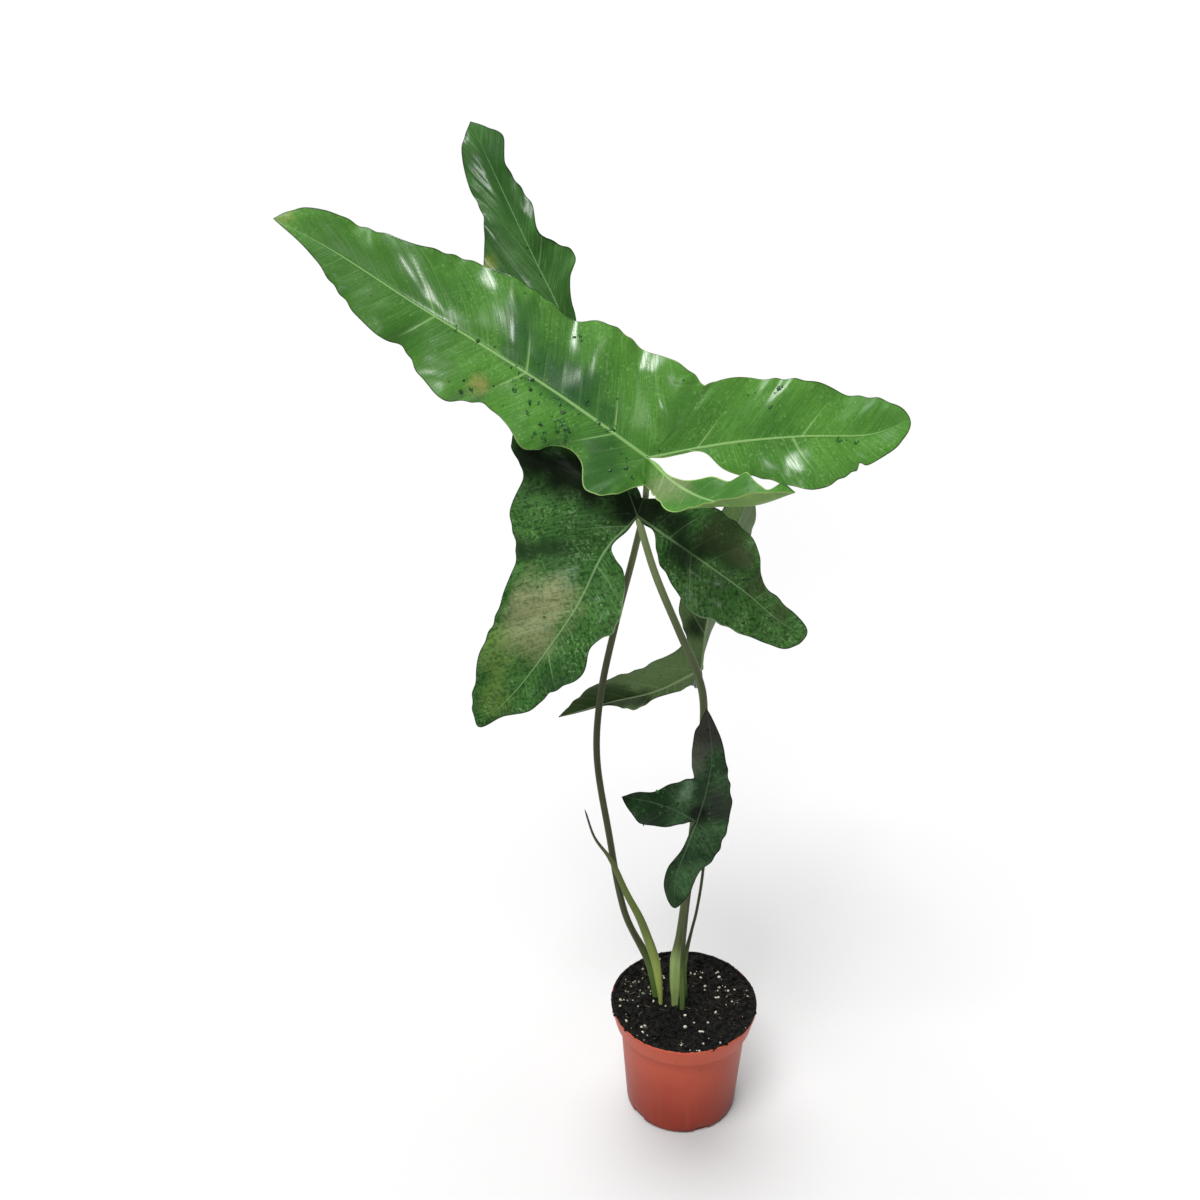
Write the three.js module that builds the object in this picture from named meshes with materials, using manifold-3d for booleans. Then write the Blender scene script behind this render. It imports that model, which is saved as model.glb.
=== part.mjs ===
// Potted Thaumatophyllum stenolobum: a nursery pot, its soil and five stems, four of them with a
// three-lobed leaf. Millimetres, +Z up, origin at the centre of the pot's base, and -Y is the
// side seen in front. The mesh names are the part's sub-components.
import * as THREE from 'three';
import Module from 'manifold-3d';

const wasm = await Module();
wasm.setup();

// Pot: a 12 cm injection-moulded nursery pot, with a flared band round a slimmer wall.
const POT_TOP_RADIUS = 60;
const POT_BAND_RADIUS = 56.5;
const POT_WALL_RADIUS = 52;
const POT_BASE_RADIUS = 46;
const POT_HEIGHT = 103;
const POT_BAND_HEIGHT = 17;
const POT_STEP = 2.5;
const POT_WALL = 1.4;
const POT_FLOOR = 1.8;
const POT_BASE_ROUND = 4;
const POT_SIDES = 48;
const DRAIN_COUNT = 5;
const DRAIN_START = 221;
const DRAIN_WIDTH = 13;
const DRAIN_HEIGHT = 3;
const DRAIN_DEPTH = 6;

// Soil: peat with perlite, a little under the rim.
const SOIL_TOP = 99.5;
const SOIL_BUMP = 1.0;
const SOIL_EDGE = 2.2;
const SOIL_RINGS = 8;
const SOIL_SECTORS = 36;
const PERLITE_COUNT = 26;
const PERLITE_SIZE = [1.0, 2.1];
const PERLITE_SEED = 11;

// Fits between pieces.
const GAP = 0.3;
const HOLE_EXTRA = 0.35;
const STEM_FOOT_Z = 76;
const STEM_HOLE_LENGTH = 40;

// Leaf blades.
const BLADE = 0.9;
const BLADE_EDGE = 0.7;
const RIB_HALF_WIDTH = 2.1;
const RIB_DEPTH = 2.0;
const RIB_RISE = 0.35;
const ROW_STEP = 14;
const COLUMNS = [0.3, 0.58, 0.82, 1];
const RUFFLE_POWER = 1.5;
const ARCH = 0.035;
const MARGIN_STEPS = 8;

// Stems.
const STEM_SIDES = 8;
const STEM_STEP = 16;
const NECK_LENGTH = 9;

const COLOURS = {
  pot: 0xa8452f,
  soil: 0x1d1a17,
  leafLarge: 0x3f7a2c,
  leafUpright: 0x2c5a2e,
  leafRear: 0x56704a,
  leafLow: 0x22402a,
  stem: 0x5d6a38,
  stemPale: 0x8ea052,
};

// Each leaf has three lobes round the junction with its petiole. A rib runs from the junction
// to the lobe's tip, and facing is the way the upper face looks at the rib's two ends. A margin
// point is [distance along the rib, distance out from it, height above it], from the notch or
// the junction to the tip; left and right are as seen on the upper face with the front tip up.
// The notch between two lobes is measured from the front rib, and fan names the margin points,
// counted from the notch, between which the veins start at the junction itself.
const LEAVES = {
  large: {
    colour: COLOURS.leafLarge,
    ribs: {
      front: {
        points: [
          [-36, -22, 586], [-93, -12, 623], [-141, -4, 651], [-190, 4, 678], [-247, 14, 711], [-285, 20, 729],
        ],
        facing: [[0.1, -0.93, 0.35], [0, -0.85, 0.5]],
      },
      left: {
        points: [[-36, -22, 586], [-18, -50, 580], [4, -78, 580], [30, -105, 589], [54, -135, 610]],
        facing: [[-0.1, -0.6, 0.8], [-0.2, -0.25, 0.95]],
      },
      right: {
        points: [[-36, -22, 586], [16, -12, 594], [63, -4, 597], [113, 5, 597], [137, 10, 606]],
        facing: [[0.1, -0.93, 0.35], [0.1, -0.8, 0.6]],
      },
    },
    notch: { left: [-9, 15, 0], right: [-3, 60, 0] },
    fan: { left: [-2, 0], right: [-1, 0] },
    margin: {
      frontRight: [
        [16, 62, 3], [40, 57, -2], [70, 56, 4], [89, 47, -4], [110, 48, 2], [136, 48, 4],
        [167, 43, 0], [209, 31, 5], [239, 24, -2], [261, 21, 3], [283, 10, 0],
      ],
      frontLeft: [
        [7, 35, 8], [21, 41, 6], [34, 28, 0], [52, 27, -3], [69, 42, 5], [89, 36, 3], [111, 32, -4],
        [135, 44, 4], [156, 38, 2], [176, 28, -4], [193, 31, 3], [228, 21, 0], [261, 8, 2],
      ],
      rightOuter: [[57, 42, 3], [82, 40, 0], [111, 36, 4], [139, 29, -3], [171, 16, 3]],
      rightInner: [
        [10, 2, 0], [22, 2, 0], [36, 3, 2], [49, 18, 5], [73, 25, -2], [91, 32, 3], [108, 37, 5],
        [137, 24, -3], [152, 18, 2], [171, 9, 0],
      ],
      leftOuter: [[44, 19, 6], [69, 26, 12], [93, 18, 16], [132, 18, 16], [143, 8, 8]],
      leftInner: [
        [10, 2, 0], [25, 2, 0], [45, 7, 2], [61, 15, 6], [76, 17, 2], [90, 22, 7], [106, 16, 0],
        [135, 9, 4],
      ],
    },
  },
  upright: {
    colour: COLOURS.leafUpright,
    ribs: {
      front: {
        points: [
          [-42, -25, 545], [-71, 10, 606], [-101, 44, 667], [-120, 62, 698], [-145, 86, 741],
          [-167, 108, 779],
        ],
        facing: [[0.05, -0.88, 0.45], [0.15, -0.85, 0.5]],
      },
      left: {
        points: [
          [-42, -25, 545], [-63, -31, 522], [-81, -39, 485], [-102, -46, 452], [-125, -53, 421],
          [-150, -60, 396],
        ],
        facing: [[-0.1, -0.92, 0.35], [-0.2, -0.9, 0.3]],
      },
      right: {
        points: [[-42, -25, 545], [-1, -36, 521], [31, -44, 501], [62, -52, 479], [74, -55, 478]],
        facing: [[0, -0.92, 0.38], [0.2, -0.9, 0.35]],
      },
    },
    notch: { left: [95, 39, 0], right: [11, 7, 0] },
    fan: { left: [1, 3], right: [0, 0] },
    margin: {
      frontRight: [
        [54, 4, 4], [103, 9, 10], [142, 8, 6], [166, 15, 10], [180, 26, 4], [202, 10, 10],
        [226, 14, 2], [257, 9, 6], [279, 16, 0], [289, 9, 0],
      ],
      frontLeft: [[126, 42, 0], [160, 40, 3], [204, 32, -3], [229, 20, 4], [262, 19, -2], [283, 12, 2]],
      rightOuter: [
        [12, 21, 0], [26, 33, 0], [47, 34, 3], [68, 33, -3], [82, 24, 4], [93, 13, -4], [113, 11, 2],
      ],
      rightInner: [
        [6, 2, 0], [14, 2, 0], [28, 16, 3], [45, 24, -2], [65, 32, 4], [82, 28, -3], [104, 23, 3],
        [120, 17, -3], [131, 12, 2],
      ],
      leftOuter: [
        [15, 101, 3], [23, 94, 5], [27, 79, -3], [42, 68, 4], [65, 55, -4], [111, 43, 2], [144, 36, 4],
        [183, 14, -3],
      ],
      leftInner: [
        [11, 2, 0], [28, 2, 0], [36, 17, 4], [49, 25, 3], [78, 30, -3], [91, 24, 4], [111, 30, 3],
        [137, 18, -4], [152, 18, 3], [171, 6, -3],
      ],
    },
  },
  rear: {
    colour: COLOURS.leafRear,
    ribs: {
      front: {
        points: [[4, 45, 391], [7, 54, 424], [19, 69, 472], [38, 85, 524]],
        facing: [[-0.5, 0.75, 0.4], [-0.6, 0.7, 0.3]],
      },
      left: {
        points: [[4, 45, 391], [5, 80, 374], [4, 114, 353], [2, 142, 326]],
        facing: [[-0.95, 0.15, 0.2], [-0.9, 0.1, 0.3]],
      },
      right: {
        points: [[4, 45, 391], [-30, 35, 376], [-64, 26, 370], [-102, 15, 361]],
        facing: [[0, 0.93, 0.35], [0.1, 0.85, 0.5]],
      },
    },
    notch: { left: [19, 12, 10], right: [21, 13, 3] },
    fan: { left: [0, 0], right: [0, 1] },
    margin: {
      frontRight: [[45, 23, 10], [79, 19, 14], [112, 11, 12], [134, 9, 6]],
      frontLeft: [[34, 25, 14], [75, 40, 16], [119, 33, 10]],
      rightOuter: [[14, 30, 0], [47, 28, 3], [79, 32, -2], [99, 13, 2]],
      rightInner: [[13, 12, 0], [40, 6, -3], [53, 24, 4], [78, 4, 0], [98, 6, 2]],
      leftOuter: [[30, 16, 4], [60, 18, 2], [90, 12, 4]],
      leftInner: [[8, 3, 0], [20, 12, 0], [45, 18, -2], [75, 15, 3], [105, 8, 0]],
    },
  },
  low: {
    colour: COLOURS.leafLow,
    ribs: {
      front: {
        points: [[5, -40, 310], [11, -41, 338], [14, -41, 369], [9, -42, 408]],
        facing: [[0.1, -0.95, 0.25], [0.2, -0.95, 0.1]],
      },
      left: {
        points: [[5, -40, 310], [-15, -48, 327], [-33, -55, 337], [-49, -62, 344]],
        facing: [[-0.1, -0.9, 0.4], [-0.3, -0.8, 0.5]],
      },
      right: {
        points: [[5, -40, 310], [-1, -46, 293], [-9, -55, 269], [-9, -62, 247]],
        facing: [[0.3, -0.9, 0.3], [0.2, -0.95, 0.2]],
      },
    },
    notch: { left: [39, 11, 0], right: [7, 23, 2] },
    fan: { left: [0, 0], right: [0, 1] },
    margin: {
      frontRight: [[26, 19, 4], [45, 13, 2], [73, 7, 4], [90, 3, 0]],
      frontLeft: [[63, 15, 2], [78, 11, -2], [89, 6, 0]],
      rightOuter: [[5, 23, 4], [20, 23, 2], [37, 18, -2], [57, 11, 2]],
      rightInner: [[6, 2, 0], [12, 2, 0], [24, 3, 0], [39, 9, 3], [54, 8, 2]],
      leftOuter: [[33, 19, 2], [42, 8, -2], [58, 5, 2]],
      leftInner: [[5, 3, 0], [15, 10, 2], [29, 18, -3], [52, 15, 3], [63, 6, 0]],
    },
  },
};

// Stems, from the foot in the soil upwards: [x, y, z, radius].
const STEMS = {
  large: [
    [-24, 8, 104, 2.4], [-30, 7, 136, 2.6], [-49, 6, 183, 2.5], [-63, 5, 265, 2.4], [-72, 4, 336, 2.4],
    [-69, 3, 389, 2.3], [-58, 1, 450, 2.3], [-45, -3, 509, 2.2], [-38, -11, 548, 2.1], [-36, -22, 586, 2.1],
  ],
  upright: [
    [-7, -2, 102, 2.7], [-6, -2, 155, 3.4], [-3, -3, 196, 2.8], [3, -8, 289, 2.7], [7, -12, 394, 2.7],
    [2, -13, 418, 2.7], [-12, -16, 454, 2.5], [-30, -21, 502, 2.4], [-42, -25, 545, 2.3],
  ],
  low: [[-1, -8, 109, 1.8], [-2, -9, 152, 1.7], [0, -13, 201, 1.5], [3, -25, 254, 1.4], [5, -40, 310, 1.4]],
  rear: [
    [0, 8, 103, 2.4], [-1, 8, 133, 2.2], [4, 9, 165, 1.3], [8, 11, 187, 1.2], [12, 14, 229, 1.2],
    [12, 20, 288, 1.2], [9, 30, 337, 1.2], [4, 45, 391, 1.3],
  ],
  dry: [
    [-19, -1, 102, 2.6], [-21, -1, 124, 3.4], [-24, -2, 144, 3.6], [-31, -3, 170, 3.4], [-37, -4, 189, 2.9],
    [-48, -4, 213, 2.4], [-58, -4, 239, 2.1], [-63, -4, 249, 1.5], [-73, -3, 264, 1.0], [-81, -2, 290, 0.7],
  ],
};

const vec = (p) => new THREE.Vector3(p[0], p[1], p[2]);

// A solid's surface, gathered triangle by triangle; points that coincide are one vertex.
class Surface {
  constructor() {
    this.positions = [];
    this.triangles = [];
    this.index = new Map();
  }

  vertex(p) {
    const key = [p.x, p.y, p.z].map((value) => Math.round(value * 1000)).join();
    if (!this.index.has(key)) {
      this.index.set(key, this.positions.length / 3);
      this.positions.push(p.x, p.y, p.z);
    }
    return this.index.get(key);
  }

  triangle(a, b, c) {
    if (a !== b && b !== c && c !== a) this.triangles.push(a, b, c);
  }

  quad(a, b, c, d, flipped = false) {
    if (flipped) {
      this.triangle(a, c, b);
      this.triangle(a, d, c);
    } else {
      this.triangle(a, b, c);
      this.triangle(a, c, d);
    }
  }

  solid() {
    return new wasm.Manifold(new wasm.Mesh({
      numProp: 3,
      vertProperties: new Float32Array(this.positions),
      triVerts: new Uint32Array(this.triangles),
    }));
  }
}

function solidOf(geometry) {
  const surface = new Surface();
  const positions = geometry.attributes.position;
  const order = geometry.index ? geometry.index.array : [...Array(positions.count).keys()];
  const point = new THREE.Vector3();
  const corners = Array.from(order, (i) => surface.vertex(point.fromBufferAttribute(positions, i)));
  for (let i = 0; i < corners.length; i += 3) surface.triangle(corners[i], corners[i + 1], corners[i + 2]);
  return surface.solid();
}

function meshOf(solid, name, colour, roughness) {
  const data = solid.getMesh();
  const geometry = new THREE.BufferGeometry();
  geometry.setAttribute('position', new THREE.BufferAttribute(Float32Array.from(data.vertProperties), 3));
  geometry.setIndex(new THREE.BufferAttribute(Uint32Array.from(data.triVerts), 1));
  geometry.computeVertexNormals();
  const material = new THREE.MeshStandardMaterial({ color: colour, roughness, metalness: 0 });
  const mesh = new THREE.Mesh(geometry, material);
  mesh.name = name;
  return mesh;
}

// Repeatable draws between 0 and 1.
function randomDraws(seed) {
  let state = seed;
  return () => {
    state = (state * 16807) % 2147483647;
    return state / 2147483647;
  };
}

// A rib with the frame that it carries: along the rib, out to the right, and up off the face.
class Rib {
  constructor({ points, facing }) {
    this.curve = new THREE.CatmullRomCurve3(points.map(vec), false, 'centripetal');
    this.length = this.curve.getLength();
    this.facing = facing.map(vec);
  }

  frame(station) {
    const t = THREE.MathUtils.clamp(station / this.length, 0, 1);
    const along = this.curve.getTangentAt(t);
    const origin = this.curve.getPointAt(t).addScaledVector(along, station - t * this.length);
    const up = this.facing[0].clone().lerp(this.facing[1], t);
    up.addScaledVector(along, -up.dot(along)).normalize();
    return { origin, along, up, right: along.clone().cross(up) };
  }

  marginPoint(side, [station, out, height]) {
    const { origin, up, right } = this.frame(station);
    return { base: origin.addScaledVector(right, side * out), lift: up.multiplyScalar(height) };
  }
}

// A line through margin points, sampled by its length, with each point's lift off the flat.
class Margin {
  constructor(pieces) {
    this.samples = [];
    this.knots = [];
    for (const piece of pieces) {
      const base = new THREE.CatmullRomCurve3(piece.map((p) => p.base), false, 'centripetal');
      const lift = new THREE.CatmullRomCurve3(piece.map((p) => p.lift), false, 'catmullrom', 0.5);
      const steps = MARGIN_STEPS * (piece.length - 1);
      for (let i = this.samples.length ? 1 : 0; i <= steps; i += 1) {
        if (i % MARGIN_STEPS === 0) this.knots.push(this.samples.length);
        this.samples.push({ base: base.getPoint(i / steps), lift: lift.getPoint(i / steps) });
      }
    }
    this.lengths = [0];
    for (let i = 1; i < this.samples.length; i += 1) {
      this.lengths.push(this.lengths[i - 1] + this.samples[i].base.distanceTo(this.samples[i - 1].base));
    }
  }

  // count + 1 points, evenly spaced from one knot to another.
  between(fromKnot, toKnot, count) {
    const start = this.lengths[this.knots[fromKnot]];
    const end = this.lengths[this.knots[toKnot]];
    return Array.from({ length: count + 1 }, (_, k) => this.at(start + ((end - start) * k) / count));
  }

  at(length) {
    let i = 1;
    while (i < this.lengths.length - 1 && this.lengths[i] < length) i += 1;
    const t = (length - this.lengths[i - 1]) / (this.lengths[i] - this.lengths[i - 1] || 1);
    const [a, b] = [this.samples[i - 1], this.samples[i]];
    return { base: a.base.clone().lerp(b.base, t), lift: a.lift.clone().lerp(b.lift, t) };
  }
}

// Rows of points across a panel of the blade, each from a rib to the margin.
function panelRows(roots, ends) {
  return roots.map((root, i) => {
    const { base, lift } = ends[i];
    const reach = root.origin.distanceTo(base);
    const ribEdge = Math.min(0.45, root.ribHalf / Math.max(reach, 0.01));
    const across = [0, ...COLUMNS.map((f) => ribEdge + (1 - ribEdge) * f)];
    across.splice(1, 0, ribEdge);
    return across.map((v) => root.origin.clone().lerp(base, v)
      .addScaledVector(lift, v ** RUFFLE_POWER)
      .addScaledVector(root.up, ARCH * reach * 4 * v * (1 - v)));
  });
}

function addPanel(surface, roots, rows, side) {
  const last = rows[0].length - 1;
  const collapsed = rows.map((row) => row[0].distanceTo(row[last]) < 0.01);
  const difference = (a, b) => b.clone().sub(a);
  const normal = (i, j) => {
    if (j === 0 || collapsed[i]) return roots[i].up;
    const along = difference(rows[Math.max(i - 1, 0)][j], rows[Math.min(i + 1, rows.length - 1)][j]);
    const outward = difference(rows[i][j - 1], rows[i][Math.min(j + 1, last)]);
    return along.cross(outward).multiplyScalar(side).normalize();
  };
  const upper = [];
  const lower = [];
  rows.forEach((row, i) => {
    const root = roots[i];
    const offsets = row.map((_, j) => {
      if (j === 0 || collapsed[i]) return [BLADE / 2 + root.ribRise, BLADE / 2 + root.ribDepth];
      return j === last ? [BLADE_EDGE / 2, BLADE_EDGE / 2] : [BLADE / 2, BLADE / 2];
    });
    upper.push(row.map((p, j) => surface.vertex(p.clone().addScaledVector(normal(i, j), offsets[j][0]))));
    lower.push(row.map((p, j) => surface.vertex(p.clone().addScaledVector(normal(i, j), -offsets[j][1]))));
  });
  const flipped = side < 0;
  for (let i = 0; i < rows.length - 1; i += 1) {
    for (let j = 0; j < last; j += 1) {
      surface.quad(upper[i][j], upper[i + 1][j], upper[i + 1][j + 1], upper[i][j + 1], flipped);
      surface.quad(lower[i][j], lower[i + 1][j], lower[i + 1][j + 1], lower[i][j + 1], !flipped);
    }
    surface.quad(upper[i][last], upper[i + 1][last], lower[i + 1][last], lower[i][last], flipped);
  }
}

function bladeSolid(leaf) {
  const ribs = Object.fromEntries(Object.entries(leaf.ribs).map(([name, rib]) => [name, new Rib(rib)]));
  const junctionUp = new THREE.Vector3();
  for (const rib of Object.values(ribs)) junctionUp.add(rib.frame(0).up);
  junctionUp.normalize();

  const rootAt = (rib, t) => {
    const { origin, up } = rib.frame(t * rib.length);
    const slim = 1 - t;
    return {
      origin,
      up: t === 0 ? junctionUp : up,
      ribHalf: RIB_HALF_WIDTH * (0.35 + 0.65 * slim),
      ribDepth: RIB_DEPTH * slim,
      ribRise: RIB_RISE * Math.min(1, 4 * slim),
    };
  };
  const rootsAlong = (rib) => {
    const count = Math.max(6, Math.round(rib.length / ROW_STEP));
    return Array.from({ length: count + 1 }, (_, k) => rootAt(rib, k / count));
  };
  const roots = {
    front: rootsAlong(ribs.front),
    left: rootsAlong(ribs.left),
    right: rootsAlong(ribs.right),
  };
  const tipOf = (rib) => ({ base: rib.frame(rib.length).origin, lift: new THREE.Vector3() });

  const surface = new Surface();
  for (const [name, side] of [['left', -1], ['right', 1]]) {
    const rear = ribs[name];
    const capital = name === 'left' ? 'Left' : 'Right';
    const frontMargin = leaf.margin[`front${capital}`].map((p) => ribs.front.marginPoint(side, p));
    const notch = ribs.front.marginPoint(side, leaf.notch[name]);
    const outer = leaf.margin[`${name}Outer`].map((p) => rear.marginPoint(-side, p));
    const inner = leaf.margin[`${name}Inner`].map((p) => rear.marginPoint(side, p));

    const web = new Margin([
      [tipOf(ribs.front), ...frontMargin.reverse(), notch],
      [notch, ...outer, tipOf(rear)],
    ]);
    const notchKnot = frontMargin.length + 1;
    const [fanStart, fanEnd] = leaf.fan[name].map((k) => notchKnot + k);
    const fanLength = web.lengths[web.knots[fanEnd]] - web.lengths[web.knots[fanStart]];
    const fanRows = Math.round(fanLength / ROW_STEP);
    const frontCount = roots.front.length - 1;
    const rearCount = roots[name].length - 1;
    const webEnds = [
      ...web.between(0, fanStart, frontCount),
      ...(fanRows ? web.between(fanStart, fanEnd, fanRows).slice(1) : []),
      ...web.between(fanEnd, web.knots.length - 1, rearCount).slice(1),
    ];
    const webRoots = [
      ...[...roots.front].reverse(),
      ...Array(fanRows).fill(roots.front[0]),
      ...roots[name].slice(1),
    ];
    addPanel(surface, webRoots, panelRows(webRoots, webEnds), side);

    const junction = { base: ribs.front.frame(0).origin, lift: new THREE.Vector3() };
    const sinus = new Margin([[tipOf(rear), ...inner.reverse(), junction]]);
    const sinusRoots = [...roots[name]].reverse();
    const sinusEnds = sinus.between(0, sinus.knots.length - 1, rearCount);
    addPanel(surface, sinusRoots, panelRows(sinusRoots, sinusEnds), side);
  }
  return surface.solid();
}

// A round stem along its centreline, with the radius given at each point of it.
class Stem {
  constructor(points) {
    const foot = vec(points[0]).add(vec(points[0]).sub(vec(points[1])).multiplyScalar(0.3));
    foot.z = STEM_FOOT_Z;
    this.radii = [points[0][3], ...points.map((p) => p[3])];
    this.curve = new THREE.CatmullRomCurve3([foot, ...points.map(vec)], false, 'centripetal');
    this.length = this.curve.getLength();
  }

  radiusAt(u) {
    const t = this.curve.getUtoTmapping(u) * (this.radii.length - 1);
    const i = Math.min(Math.floor(t), this.radii.length - 2);
    return THREE.MathUtils.lerp(this.radii[i], this.radii[i + 1], t - i);
  }

  // The stretch between two lengths, measured from the foot, as a closed tube.
  solid(from, to, extra = 0) {
    const surface = new Surface();
    const steps = Math.max(2, Math.round((to - from) / STEM_STEP));
    const sideways = new THREE.Vector3(0, 1, 0);
    const rings = [];
    let centre = null;
    for (let i = 0; i <= steps; i += 1) {
      const length = from + ((to - from) * i) / steps;
      const u = THREE.MathUtils.clamp(length / this.length, 0, 1);
      const along = this.curve.getTangentAt(u);
      const right = sideways.clone().cross(along).normalize();
      const front = along.clone().cross(right);
      centre = this.curve.getPointAt(u).addScaledVector(along, length - u * this.length);
      const radius = this.radiusAt(u) + extra;
      rings.push(Array.from({ length: STEM_SIDES }, (_, k) => {
        const angle = (2 * Math.PI * k) / STEM_SIDES;
        return surface.vertex(centre.clone()
          .addScaledVector(right, radius * Math.cos(angle))
          .addScaledVector(front, radius * Math.sin(angle)));
      }));
    }
    for (let i = 0; i < steps; i += 1) {
      for (let k = 0; k < STEM_SIDES; k += 1) {
        const next = (k + 1) % STEM_SIDES;
        surface.quad(rings[i][k], rings[i][next], rings[i + 1][next], rings[i + 1][k]);
      }
    }
    for (let k = 1; k < STEM_SIDES - 1; k += 1) {
      surface.triangle(rings[0][0], rings[0][k + 1], rings[0][k]);
      surface.triangle(rings[steps][0], rings[steps][k], rings[steps][k + 1]);
    }
    return surface.solid();
  }
}

function potSolid() {
  const bandBottom = POT_HEIGHT - POT_BAND_HEIGHT;
  const outer = [
    [0, 0],
    [POT_BASE_RADIUS - POT_BASE_ROUND, 0],
    [POT_BASE_RADIUS - POT_BASE_ROUND * 0.3, POT_BASE_ROUND * 0.3],
    [POT_BASE_RADIUS, POT_BASE_ROUND],
    [POT_WALL_RADIUS, bandBottom - POT_STEP],
    [POT_BAND_RADIUS, bandBottom],
    [POT_TOP_RADIUS, POT_HEIGHT - 0.6],
    [POT_TOP_RADIUS - 0.5, POT_HEIGHT],
  ];
  const inner = [
    [POT_TOP_RADIUS - POT_WALL, POT_HEIGHT],
    [POT_BAND_RADIUS - POT_WALL, bandBottom + 0.7],
    [POT_WALL_RADIUS - POT_WALL, bandBottom - POT_STEP + 0.7],
    [POT_BASE_RADIUS - POT_WALL, POT_BASE_ROUND + 0.6],
    [POT_BASE_RADIUS - POT_BASE_ROUND - POT_WALL * 0.4, POT_FLOOR],
    [0, POT_FLOOR],
  ];
  const profile = [...outer, ...inner].map(([r, z]) => new THREE.Vector2(r, z));
  const wall = new THREE.LatheGeometry(profile, POT_SIDES);
  wall.rotateX(Math.PI / 2);
  let pot = solidOf(wall);
  for (let i = 0; i < DRAIN_COUNT; i += 1) {
    const slot = new THREE.BoxGeometry(DRAIN_DEPTH, DRAIN_WIDTH, DRAIN_HEIGHT);
    slot.translate(POT_BASE_RADIUS - DRAIN_DEPTH / 2 + 1, 0, DRAIN_HEIGHT / 2 - 1);
    slot.rotateZ(THREE.MathUtils.degToRad(DRAIN_START + (360 * i) / DRAIN_COUNT));
    pot = pot.subtract(solidOf(slot));
  }
  return pot;
}

function soilHeight(x, y) {
  const waves = Math.sin(0.13 * x + 0.8) * Math.cos(0.11 * y - 0.4) + 0.6 * Math.sin(0.31 * x - 0.27 * y);
  return SOIL_TOP + SOIL_BUMP * waves;
}

function soilSolid(stems) {
  const bandBottom = POT_HEIGHT - POT_BAND_HEIGHT;
  const inset = POT_WALL + GAP;
  const topShare = (SOIL_TOP - bandBottom) / POT_BAND_HEIGHT;
  const sides = [
    [POT_BASE_RADIUS - inset - POT_BASE_ROUND, POT_FLOOR + GAP],
    [POT_BASE_RADIUS - inset, POT_BASE_ROUND + 1.5],
    [POT_WALL_RADIUS - inset, bandBottom - POT_STEP + 0.9],
    [POT_BAND_RADIUS - inset, bandBottom + 1.1],
    [THREE.MathUtils.lerp(POT_BAND_RADIUS, POT_TOP_RADIUS, topShare) - inset - 0.5, SOIL_TOP - SOIL_EDGE],
  ];
  const surface = new Surface();
  const around = (radius, height) => Array.from({ length: SOIL_SECTORS }, (_, k) => {
    const angle = (2 * Math.PI * k) / SOIL_SECTORS;
    const [x, y] = [radius * Math.cos(angle), radius * Math.sin(angle)];
    return surface.vertex(new THREE.Vector3(x, y, typeof height === 'number' ? height : height(x, y)));
  });
  const rimRadius = sides.at(-1)[0];
  const rings = sides.map(([radius, z]) => around(radius, z));
  for (let i = SOIL_RINGS; i > 0; i -= 1) rings.push(around((rimRadius * i) / SOIL_RINGS, soilHeight));
  rings.slice(1).forEach((ring, i) => {
    for (let k = 0; k < SOIL_SECTORS; k += 1) {
      const next = (k + 1) % SOIL_SECTORS;
      surface.quad(rings[i][k], rings[i][next], ring[next], ring[k]);
    }
  });
  const bottom = surface.vertex(new THREE.Vector3(0, 0, POT_FLOOR + GAP));
  const top = surface.vertex(new THREE.Vector3(0, 0, soilHeight(0, 0)));
  for (let k = 0; k < SOIL_SECTORS; k += 1) {
    const next = (k + 1) % SOIL_SECTORS;
    surface.triangle(bottom, rings[0][next], rings[0][k]);
    surface.triangle(top, rings.at(-1)[k], rings.at(-1)[next]);
  }
  let soil = surface.solid();

  const draw = randomDraws(PERLITE_SEED);
  for (let i = 0; i < PERLITE_COUNT; i += 1) {
    const size = THREE.MathUtils.lerp(PERLITE_SIZE[0], PERLITE_SIZE[1], draw());
    const reach = (rimRadius - 5) * Math.sqrt(draw());
    const angle = 2 * Math.PI * draw();
    const [x, y] = [reach * Math.cos(angle), reach * Math.sin(angle)];
    const grain = new THREE.OctahedronGeometry(size, 0);
    grain.rotateX(draw() * Math.PI);
    grain.rotateZ(draw() * Math.PI);
    grain.translate(x, y, soilHeight(x, y) + size * 0.2);
    soil = soil.add(solidOf(grain));
  }
  for (const stem of stems) soil = soil.subtract(stem.solid(-GAP, STEM_HOLE_LENGTH, HOLE_EXTRA));
  return soil;
}

const group = new THREE.Group();
const stems = Object.fromEntries(Object.entries(STEMS).map(([name, points]) => [name, new Stem(points)]));

group.add(meshOf(potSolid(), 'pot', COLOURS.pot, 0.5));
group.add(meshOf(soilSolid(Object.values(stems)), 'soil', COLOURS.soil, 0.95));
for (const [name, leaf] of Object.entries(LEAVES)) {
  const stem = stems[name];
  const neckStart = stem.length - NECK_LENGTH;
  const neck = stem.solid(neckStart, stem.length + 0.5);
  group.add(meshOf(stem.solid(0, neckStart - GAP), `petiole_${name}`, COLOURS.stem, 0.5));
  group.add(meshOf(bladeSolid(leaf).add(neck), `leaf_${name}`, leaf.colour, 0.4));
}
group.add(meshOf(stems.dry.solid(0, stems.dry.length), 'old_leaf_sheath', COLOURS.stemPale, 0.6));

export default group;
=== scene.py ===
"""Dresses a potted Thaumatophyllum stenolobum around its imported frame.

Plant sizes are in millimetres, as on a drawing, and become metres where a mesh is made. The
object stands on its pot's base at the origin, with +Z up and -Y towards the side seen in front.
"""

from __future__ import annotations

import functools
import logging
import math
from dataclasses import dataclass, field
from enum import Enum
from typing import Any, Optional, Sequence, Union

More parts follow.
